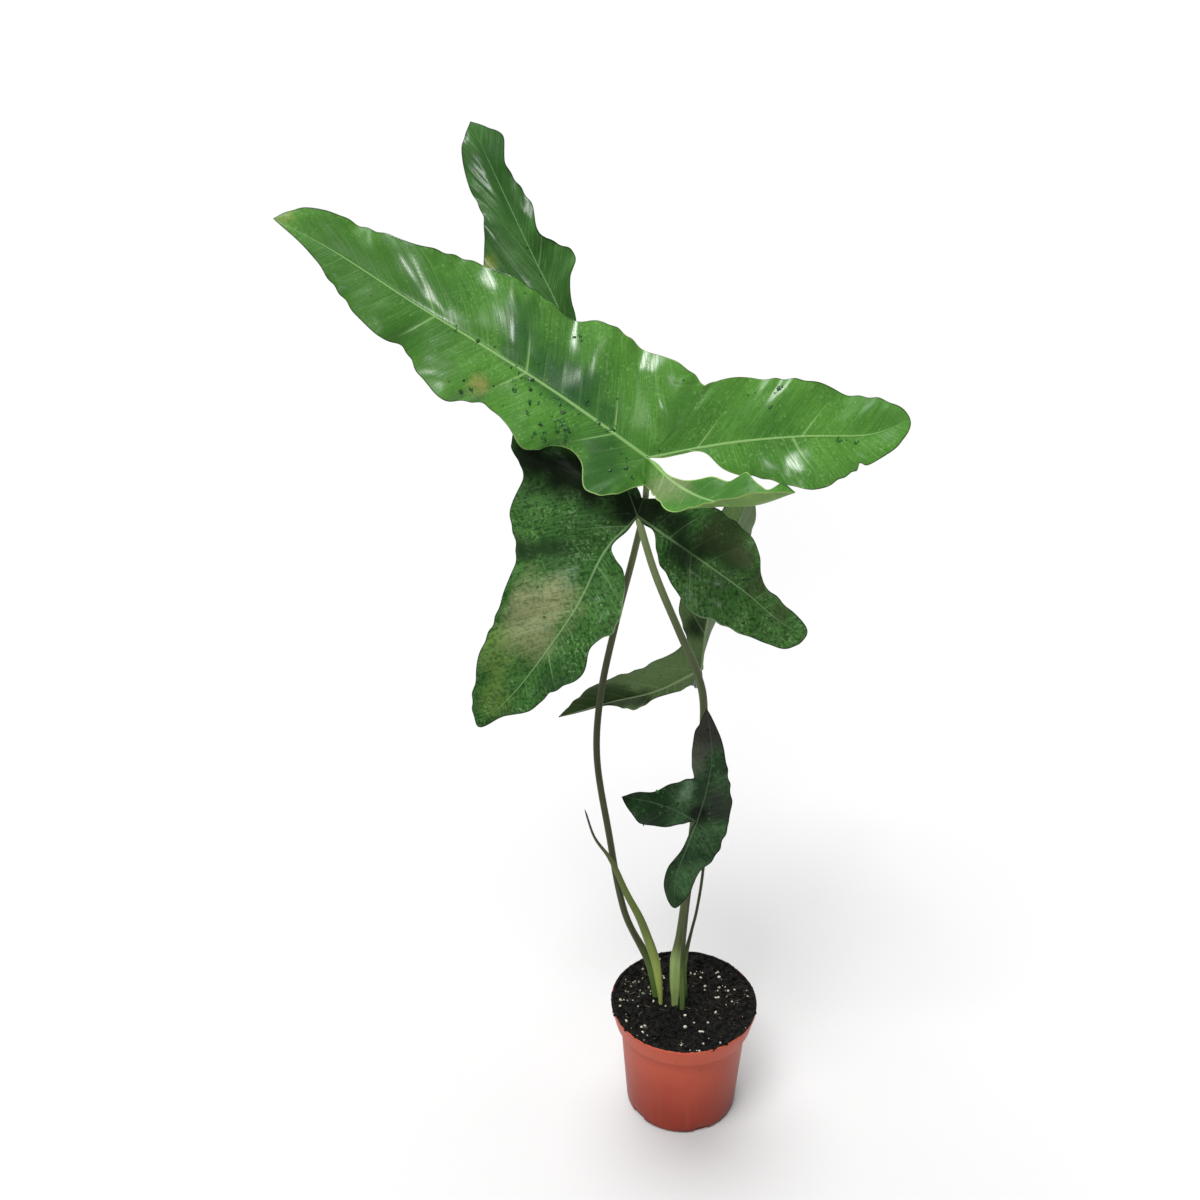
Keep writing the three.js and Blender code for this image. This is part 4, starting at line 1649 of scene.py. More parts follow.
PEAT = GrainFinish("peat", (0.0022, 0.0023, 0.0021), (0.014, 0.0135, 0.012), 260.0, 0.85, 0.5)
WHITE = GrainFinish("perlite", (0.34, 0.33, 0.26), (0.66, 0.64, 0.56), 500.0, 0.9, 0.2)
DUSTY = GrainFinish("perlite_dusty", (0.09, 0.1, 0.06), (0.4, 0.4, 0.3), 420.0, 0.9, 0.2)
THREAD = GrainFinish("root_fibre", (0.09, 0.06, 0.035), (0.3, 0.24, 0.15), 300.0, 0.8, 0.1)
BARK = GrainFinish("bark_bits", (0.012, 0.009, 0.006), (0.04, 0.028, 0.018), 320.0, 0.85, 0.3)

Layers = tuple[tuple[Scatter, tuple[float, ...]], ...]
CRUMBS: Layers = (
    (Scatter("peat_crumbs", Grain.CRUMB, PEAT, 160000.0, 0.0004, 0.0015, 3), (0.5, 56.8)),
    (
        Scatter("bark_bits", Grain.CRUMB, BARK, 16000.0, 0.0005, 0.0017, 8, 0.5, 0.45),
        (0.5, 56.8),
    ),
)
TOPPING: Layers = (
    (Scatter("perlite_grains", Grain.PERLITE, WHITE, 4600.0, 0.0005, 0.0014, 12), (1.0, 55.8)),
    (
        Scatter("perlite_cluster_left", Grain.PERLITE, DUSTY, 26000.0, 0.0006, 0.0016, 15),
        (22.0, 52.8, 120.0, 185.0),
    ),
    (
        Scatter("perlite_cluster_right", Grain.PERLITE, WHITE, 14000.0, 0.0005, 0.0014, 19),
        (24.0, 46.8, 20.0, 80.0),
    ),
    (Scatter("rim_crumbs", Grain.CRUMB, PEAT, 260000.0, 0.0003, 0.0009, 27), (57.8, 59.8)),
    (
        Scatter("rim_grains", Grain.PERLITE, WHITE, 42000.0, 0.0005, 0.0011, 29),
        (57.0, 59.6, 215.0, 330.0),
    ),
    (
        Scatter("rim_spill", Grain.CRUMB, PEAT, 60000.0, 0.0006, 0.0016, 33, 0.5, 0.6),
        (59.0, 60.4, 195.0, 350.0),
    ),
)
THREADS: Layers = (
    (
        Scatter("root_threads", Grain.FIBRE, THREAD, 5200.0, 0.0018, 0.0045, 21, 0.1, 1.0),
        (1.0, 53.8),
    ),
)


@dataclass(frozen=True)
class LoneGrain:
    """A big grain that stands out on the soil: its place, its half sizes and its lumps' seed."""

    name: str
    place: Pair
    size: Triple
    seed: int


@dataclass
class SoilBed:
    """Moist peat up to just under the rim, with perlite, crumbs and root threads."""

    top: float = 99.5
    bump: float = 1.0
    edge_rise: float = 2.9
    rim_radius: float = 57.6
    rim_height: float = 103.0
    middle_radius: float = 0.6
    foot: float = 2.1
    rings: int = 84
    sectors: int = 240
    spill_sectors: int = 480
    spill_radius: float = 59.75
    spill_circle: float = 60.0
    seed: int = 5
    sides: tuple[Pair, ...] = (
        (40.3, 2.1), (44.3, 5.5), (50.3, 84.4), (54.8, 87.1), (57.2, 98.5),
    )
    lone_grains: tuple[LoneGrain, ...] = (
        LoneGrain("grain_front", (2.0, -28.0), (1.5, 1.4, 1.3), 61),
        LoneGrain("grain_front_small", (1.5, -14.0), (1.2, 1.1, 0.9), 62),
        LoneGrain("grain_long", (15.0, -33.0), (2.3, 0.9, 0.8), 63),
        LoneGrain("grain_left", (-32.0, -38.0), (1.2, 1.3, 1.0), 64),
        LoneGrain("grain_left_rim", (-46.0, -26.0), (1.3, 1.2, 1.1), 65),
    )

    def height(self, x: np.ndarray, y: np.ndarray) -> np.ndarray:
        """Height of the soil's surface.

        Args:
            x: Places along X.
            y: Places along Y.

        Returns:
            Heights in millimetres.
        """
        lumps = Lumps(self.seed)
        waves = np.sin(0.13 * x + 0.8) * np.cos(0.11 * y - 0.4)
        waves = waves + 0.6 * np.sin(0.31 * x - 0.27 * y)
        flat = np.stack([x, y, np.zeros_like(x)], axis=-1)
        rough = 0.9 * lumps.at(flat, 7.0) + 0.55 * lumps.at(flat + 3.0, 3.2)
        rough = rough + 0.3 * lumps.at(flat + 9.0, 1.5)
        away = np.hypot(x, y)
        heap = self.edge_rise * smoothstep(away, self.rim_radius - 11.0, self.rim_radius - 1.0)
        calm = 1.0 - 0.6 * smoothstep(away, self.rim_radius - 8.0, self.rim_radius)
        return self.top + (self.bump * waves + rough) * calm + heap

    def patch(
        self, inner: float, outer: float, start: float = 0.0, end: float = 360.0
    ) -> bpy.types.Object:
        """A bare piece of the surface for grains to lie on.

        Args:
            inner: Its smaller radius.
            outer: Its larger radius.
            start: Angle of its first edge, in degrees from +X.
            end: Angle of its last edge.

        Returns:
            The patch.
        """
        angles = np.radians(np.linspace(start, end, 37))
        radius, angle = np.meshgrid(np.linspace(inner, outer, 14), angles, indexing="ij")
        soil = self.height(radius * np.cos(angle), radius * np.sin(angle))
        height = np.where(radius > self.rim_radius, self.rim_height, soil)
        faces = grid_quads(np.arange(radius.size).reshape(radius.shape)).tolist()
        return mesh_object("patch", polar(radius, angle, height + 0.1).reshape(-1, 3), faces, [])

    def spill(self) -> None:
        """Makes the ragged ring of soil that lies on the pot's rim."""
        angle = circle(self.spill_sectors)
        around = polar(np.full_like(angle, self.spill_circle), angle, np.zeros_like(angle))
        lumps = Lumps(self.seed + 3)
        ragged = lumps.at(around, 9.0) * 0.7 + lumps.at(around + 5.0, 2.6) * 0.5
        outer = self.spill_radius + 0.6 * ragged
        crest = self.rim_height + 0.75 + 0.4 * lumps.at(around + 11.0, 2.0)
        foot = np.full_like(angle, self.rim_height + 0.03)
        inner = np.full_like(angle, self.rim_radius)
        section = (
            (inner - 0.6, foot - 1.2), (inner - 0.2, crest - 0.1), (inner + 0.9, crest),
            (outer - 0.35, crest - 0.25), (outer, foot + 0.1), (outer - 0.1, foot),
            (inner + 1.1, foot), (inner + 0.3, foot - 1.2),
        )
        points = np.array([polar(radius, angle, height) for radius, height in section])
        index = np.arange(points[..., 0].size).reshape(points.shape[:2])
        faces = grid_quads(np.pad(index, ((0, 1), (0, 1)), "wrap")).tolist()
        place(mesh_object("rim_soil", points.reshape(-1, 3), faces, [PEAT]), "soil")

    def lone_grain(self, grain: LoneGrain) -> None:
        """Makes one big grain.

        Args:
            grain: Its place, size and seed.
        """
        mesh = bmesh.new()
        bmesh.ops.create_icosphere(mesh, subdivisions=3, radius=1.0)
        ball = np.array([vertex.co[:] for vertex in mesh.verts])
        faces = [[vertex.index for vertex in face.verts] for face in mesh.faces]
        mesh.free()
        lumpy = 1.0 + 0.22 * Lumps(grain.seed).at(ball * 2.0 + 3.0, 0.9)
        x, y = grain.place
        ground = float(self.height(np.array([x]), np.array([y]))[0])
        middle = [x, y, ground + 0.5 * grain.size[2]]
        points = ball * lumpy[:, None] * np.array(grain.size) + middle
        place(mesh_object(grain.name, points, faces, [WHITE]), "soil")

    def bed(self) -> None:
        """Makes the soil's body as one closed piece."""
        radii = [radius for radius, _ in self.sides]
        radii += np.linspace(self.rim_radius, self.middle_radius, self.rings).tolist()
        radius = np.repeat(np.array(radii)[:, None], self.sectors, axis=1)
        angle = circle(self.sectors)
        height = self.height(radius * np.cos(angle), radius * np.sin(angle))
        for row, (_, z) in enumerate(self.sides):
            height[row] = z
        middle = float(self.height(np.zeros(1), np.zeros(1))[0])
        rings = polar(radius, angle[None, :], height)
        points, faces = capped(rings, (0.0, 0.0, self.foot), (0.0, 0.0, middle))
        place(mesh_object("soil_bed", points, faces, [PEAT]), "soil", "soil")

    def strew(self, layers: Layers) -> None:
        """Strews layers of grains."""
        for scatter, where in layers:
            scatter.build(self.patch(*where), "soil")

    def build(self) -> None:
        """Makes the bed and what lies on it."""
        self.bed()
        self.strew(CRUMBS)
        self.spill()
        self.strew(TOPPING)
        for grain in self.lone_grains:
            self.lone_grain(grain)
        self.strew(THREADS)


@dataclass(frozen=True)
class Lamp:
    """A broad soft light that shines evenly from one direction."""

    name: str
    source: Triple
    spread: float
    strength: float


@dataclass
class Studio:
    """Pale floor, soft lights and the camera of the photograph."""

    lens: float = 42.0
    sensor: float = 36.0
    camera_place: Triple = (0.0, -0.890, 0.914)
    camera_yaw: float = 4.45
    camera_pitch: float = 26.5
    farthest: float = 200.0
    world: float = 0.2
    floor_size: float = 90.0
    lamps: tuple[Lamp, ...] = (
        Lamp("overhead", (-0.15, 0.45, 1.0), 60.0, 3.1),
        Lamp("key", (-0.2, -0.38, 0.9), 24.0, 2.6),
        Lamp("window", (-0.12, -0.9, 0.42), 11.0, 0.6),
    )

    def build(self) -> None:
        """Makes the floor, the world, the lights and the camera."""
        self.make_floor()
        self.make_world()
        for lamp in self.lamps:
            self.make_lamp(lamp)
        self.make_camera()
        bpy.context.scene.view_settings.view_transform = "Standard"

    def make_floor(self) -> None:
        """Makes the floor as stage."""
        half = self.floor_size / 2 / MM
        points = np.array([[-half, -half, 0], [half, -half, 0], [half, half, 0], [-half, half, 0]])
        mesh_object("floor", points, [[0, 1, 2, 3]], [FloorFinish()])

    def make_world(self) -> None:
        """Makes the even light from all round."""
        world = bpy.data.worlds.new("studio")
        world.use_nodes = True
        back = world.node_tree.nodes["Background"]
        back.inputs["Color"].default_value = (1.0, 1.0, 1.0, 1.0)
        back.inputs["Strength"].default_value = self.world
        bpy.context.scene.world = world

    def make_lamp(self, lamp: Lamp) -> None:
        """Makes one light, turned so that it shines from its source to the plant.

        Args:
            lamp: The light's plan.
        """
        light = bpy.data.lights.new(lamp.name, "SUN")
        light.angle = math.radians(lamp.spread)
        light.energy = lamp.strength
        made = linked(lamp.name, light)
        x, y, z = lamp.source
        made.location = lamp.source
        made.rotation_euler = (math.atan2(math.hypot(x, y), z), 0.0, math.atan2(x, -y))

    def make_camera(self) -> None:
        """Makes the camera where the photograph was taken from."""
        camera = bpy.data.cameras.new("camera")
        camera.lens = self.lens
        camera.sensor_width = self.sensor
        camera.clip_end = self.farthest
        made = linked("camera", camera)
        made.location = self.camera_place
        pitch = math.radians(90.0 - self.camera_pitch)
        made.rotation_euler = (pitch, 0.0, math.radians(self.camera_yaw))
        bpy.context.scene.camera = made


def patches(
    colour: Colour, grain: float, *spots: tuple[float, ...], matt: float = 0.0, veil: float = 0.0
) -> tuple[StainOrPaintedLight, ...]:
    """Stains, or patches of painted shade, shadow or sheen, all of one colour.

    Args:
        colour: Their colour.
        grain: How broken up they are.
        *spots: Centre, radius and strength of each.
        matt: How matt they are.
        veil: How far they hide the ribs.

    Returns:
        The patches, in the order of the spots.
    """
    return tuple(
        StainOrPaintedLight(tuple(centre), radius, colour, strength, grain, matt, veil)
        for *centre, radius, strength in spots
    )


def underside(
    name: str, deep: Colour, bright: Colour, vein: Colour, edge: Colour, **changes: Any
) -> LeafFinish:
    """A leaf's matt under side with its broad ribs.

    Args:
        name: The material's name.
        deep: The darker green.
        bright: The lighter green.
        vein: Colour of the veins.
        edge: Colour of the margin.
        **changes: What differs from the usual under side.

    Returns:
        The finish.
    """
    usual = {"gloss": 0.1, "wax": 0.02, "rib_half": 2.2, "fleck_share": 0.1, "dark_specks": 0.0}
    looks = {"roughness": 0.5, **usual, **changes}
    return LeafFinish(name, deep, bright, vein, edge, **looks)


BRIGHT_UPPER = LeafFinish(
    name="leaf_bright_upper",
    deep=(0.038, 0.13, 0.02),
    bright=(0.09, 0.25, 0.037),
    vein=(0.24, 0.42, 0.14),
    edge=(0.022, 0.05, 0.012),
    roughness=0.27,
    dapple_share=0.12,
    dark_specks=0.03,
    rib_half=1.25,
    stripe_share=0.16,
    gloss=0.09,
    wax=0.035,
    dew_and_glint=0.12,
    blotches=(
        # Painted shade: darker green over the left web, by the junction (matt there too) and on the
        # left rear lobe.
        *patches((0.036, 0.115, 0.018), 0.2, (-235, 0, 692, 70, 0.75), (-178, -16, 650, 34, 0.6)),
        *patches((0.02, 0.075, 0.015), 0.2, (-64, -31, 579, 33, 0.9), matt=0.45, veil=0.3),
        *patches((0.038, 0.115, 0.024), 0.2, (6, -80, 582, 50, 0.85), veil=0.35),
        *patches((0.36, 0.27, 0.1), 0.75, (-150, -12, 630, 11, 0.75)),
        *patches((0.3, 0.33, 0.1), 0.75, (-279, 20, 732, 12, 0.5)),
        # Painted sheen: a pale patch on the left rear lobe.
        *patches((0.17, 0.195, 0.1), 0.4, (-26, -54, 579, 30, 0.8), veil=0.35),
        # Painted shade along the midrib's upper side.
        *patches((0.014, 0.07, 0.018), 0.2, (-121, -3, 656, 20, 0.7), (-106, -8, 642, 20, 0.7)),
        *patches((0.012, 0.062, 0.016), 0.2, (-93, -8, 634, 23, 0.75), (-80, -10, 625, 21, 0.75)),
        *patches((0.014, 0.07, 0.016), 0.2, (-65, -14, 612, 14, 0.6)),
        *patches((0.014, 0.07, 0.018), 0.2, (-118, 3, 674, 18, 0.5)),
    ),
    # Pale lime margin: partly the paler turned-up margin, partly a painted highlight where the edge
    # catches the light.
    rims=patches((0.3, 0.46, 0.14), 0.75, (-40, -60, 585, 130, 0.9)),
)
BRIGHT_UNDER = underside(
    "leaf_bright_under", (0.1, 0.2, 0.05), (0.17, 0.29, 0.075), (0.3, 0.42, 0.16), (0.24, 0.34, 0.1)
)
DEEP_UPPER = LeafFinish(
    name="leaf_deep_upper",
    deep=(0.011, 0.05, 0.008),
    bright=(0.06, 0.165, 0.036),
    vein=(0.21, 0.35, 0.15),
    edge=(0.012, 0.028, 0.008),
    roughness=0.3,
    gloss=0.06,
    wax=0.0,
    rib_share=0.6,
    primary_share=0.4,
    primary_start=44.0,
    side_share=0.06,
    stripe_share=0.35,
    dapple_share=0.6,
    fleck_share=0.5,
    dark_specks=0.03,
    cloud_scale=24.0,
    calm=555.0,
    relief_mm=0.8,
    blotches=(
        # Painted highlight: a bright band across the left lobe.
        *patches((0.1, 0.22, 0.075), 1.0, (-94, -32, 505, 30, 0.4)),
        # Painted shade in a hollow above that band.
        *patches((0.018, 0.065, 0.012), 0.3, (-104, -29, 514, 20, 0.55)),
        *patches((0.12, 0.2, 0.04), 0.75, (-138, -50, 450, 30, 0.7), (-140, -56, 415, 18, 0.6)),
        *patches((0.27, 0.285, 0.14), 0.6, (-104, -39, 484, 30, 0.9)),
        *patches((0.2, 0.225, 0.1), 0.6, (-114, -43, 462, 26, 0.85)),
        *patches((0.25, 0.26, 0.04), 0.75, (-150, 61, 690, 10, 0.8)),
        # Painted shade: a dark band across the top of the left lobe.
        *patches(
            (0.008, 0.026, 0.006), 0.2, (-125, -20, 515, 11, 0.8), (-117, -22, 517, 11, 0.7),
            (-109, -24, 519, 10, 0.7), (-101, -27, 521, 10, 0.6), (-93, -29, 523, 9, 0.5),
        ),
        # Painted shadow cast by the large leaf: near-black and matt, some veiling the ribs.
        *patches(
            (0.004, 0.008, 0.003), 0.1, (-116, -9, 575, 26, 1.0), (-94, -13, 571, 26, 1.0),
            (-74, -17, 567, 24, 1.0), matt=0.45,
        ),
        *patches(
            (0.004, 0.008, 0.003), 0.1, (-50, -23, 552, 20, 1.0), (-35, -24, 549, 20, 1.0),
            matt=0.45, veil=0.7,
        ),
        # More painted shadow of the large leaf, over the right lobe's top.
        *patches(
            (0.005, 0.011, 0.004), 0.2, (-16, -29, 540, 18, 0.9), (6, -34, 529, 16, 0.9),
            (-9, -38, 522, 20, 0.9), matt=0.4, veil=0.7,
        ),
        *patches((0.006, 0.016, 0.005), 0.2, (27, -36, 524, 16, 0.7), matt=0.4, veil=0.6),
        *patches((0.018, 0.025, 0.009), 0.3, (16, -30, 536, 24, 0.9), matt=0.3, veil=0.6),
        *patches((0.048, 0.06, 0.026), 0.5, (30, -35, 524, 15, 0.75), (42, -42, 505, 15, 0.75)),
        *patches((0.048, 0.064, 0.028), 0.5, (56, -47, 489, 13, 0.65)),
        *patches((0.016, 0.06, 0.012), 0.3, (-148, 92, 756, 24, 0.6)),
        *patches((0.018, 0.066, 0.013), 0.3, (-134, 80, 728, 20, 0.5)),
        *patches((0.12, 0.21, 0.08), 1.0, (-4, -48, 497, 22, 0.35)),
        *patches((0.014, 0.045, 0.009), 0.3, (14, -42, 514, 20, 0.55)),
    ),
    rims=patches((0.2, 0.27, 0.15), 0.75, (-52, -48, 480, 34, 0.9), (10, -50, 480, 30, 0.9)),
)
DEEP_UNDER = underside(
    "leaf_deep_under", (0.05, 0.1, 0.035), (0.09, 0.16, 0.055), (0.2, 0.28, 0.12),
    (0.09, 0.15, 0.05),
)
GREY_UPPER = LeafFinish(
    name="leaf_grey_upper",
    deep=(0.01, 0.035, 0.009),
    bright=(0.03, 0.085, 0.022),
    vein=(0.12, 0.2, 0.09),
    edge=(0.03, 0.05, 0.02),
    roughness=0.34,
    gloss=0.1,
    wax=0.02,
)
GREY_UNDER = underside(
    "leaf_grey_under", (0.08, 0.14, 0.045), (0.13, 0.205, 0.08), (0.25, 0.32, 0.17),
    (0.05, 0.07, 0.035),
    roughness=0.45,
    gloss=0.06,
    wax=0.0,
    rib_half=1.6,
    primary_share=0.3,
    blotches=(
        # Darker olive over the lobe's lower half: the upper face that a fold turns out, and painted
        # shade where that half faces down.
        *patches((0.03, 0.058, 0.013), 0.1, (-100, 14, 368, 38, 1.0)),
        *patches((0.024, 0.05, 0.011), 0.1, (-80, 15, 380, 32, 1.0)),
        *patches((0.02, 0.044, 0.009), 0.1, (-66, 22, 372, 28, 1.0)),
        *patches((0.02, 0.042, 0.009), 0.1, (-52, 28, 368, 23, 1.0), (-42, 33, 365, 18, 1.0)),
        # Painted shade inside the hollow of the upward lobe.
        *patches((0.008, 0.02, 0.008), 0.1, (-1, 50, 424, 15, 0.95), (3, 56, 442, 16, 0.95)),
    ),
)
DARK_UPPER = LeafFinish(
    name="leaf_dark_upper",
    deep=(0.005, 0.016, 0.006),
    bright=(0.036, 0.085, 0.032),
    vein=(0.1, 0.15, 0.08),
    edge=(0.008, 0.014, 0.006),
    roughness=0.26,
    gloss=0.06,
    wax=0.0,
    cloud_scale=48.0,
    rib_share=0.45,
    primary_share=0.15,
    side_share=0.04,
    dapple_share=0.3,
    dark_specks=0.3,
    rib_half=0.8,
    blotches=(
        *patches((0.026, 0.022, 0.021), 0.2, (10, -42, 394, 32, 0.95)),
        # Painted sheen: a grey band down the upper lobe.
        *patches((0.062, 0.062, 0.048), 0.5, (3, -43, 372, 15, 0.8)),
        *patches((0.08, 0.09, 0.06), 0.5, (1, -44, 360, 13, 0.8)),
        *patches((0.02, 0.02, 0.018), 0.3, (22, -44, 330, 20, 0.8)),
        *patches((0.003, 0.004, 0.003), 0.2, (5, -41, 319, 11, 1.0)),
        *patches((0.1, 0.17, 0.1), 0.5, (0, -44, 344, 6, 0.7)),
        *patches((0.1, 0.17, 0.1), 0.4, (-4, -44, 337, 8, 0.85)),
        *patches((0.09, 0.16, 0.09), 0.5, (-8, -45, 332, 5, 0.7)),
        *patches((0.004, 0.006, 0.004), 0.3, (-49, -60, 344, 10, 0.9)),
        *patches((0.06, 0.13, 0.055), 0.6, (2, -53, 268, 18, 0.7)),
        *patches((0.005, 0.018, 0.005), 0.3, (-28, -52, 331, 28, 0.95)),
    ),
)
DARK_UNDER = underside(
    "leaf_dark_under", (0.02, 0.045, 0.018), (0.04, 0.075, 0.03), (0.1, 0.14, 0.06),
    (0.04, 0.07, 0.025),
    gloss=0.06,
    rib_half=1.4,
)

OLIVE = StemFinish(
    "petiole_olive", (0.09, 0.15, 0.035), (0.034, 0.042, 0.014), (0.12, 0.145, 0.06),
    (120.0, 165.0), (400.0, 540.0),
)
OLIVE_DEEP = StemFinish(
    "petiole_deep", (0.26, 0.36, 0.12), (0.055, 0.072, 0.026), (0.16, 0.21, 0.085), (142.0, 172.0),
    (440.0, 540.0),
)
SHEATH_DARK = StemFinish(
    "petiole_dark", (0.2, 0.3, 0.09), (0.035, 0.05, 0.018), (0.06, 0.08, 0.03), (125.0, 165.0),
    (250.0, 380.0),
)
SHEATH_PALE = StemFinish(
    "sheath_pale", (0.34, 0.42, 0.1), (0.1, 0.14, 0.028), (0.05, 0.045, 0.03), (112.0, 190.0),
    (215.0, 285.0), 0.5,
)

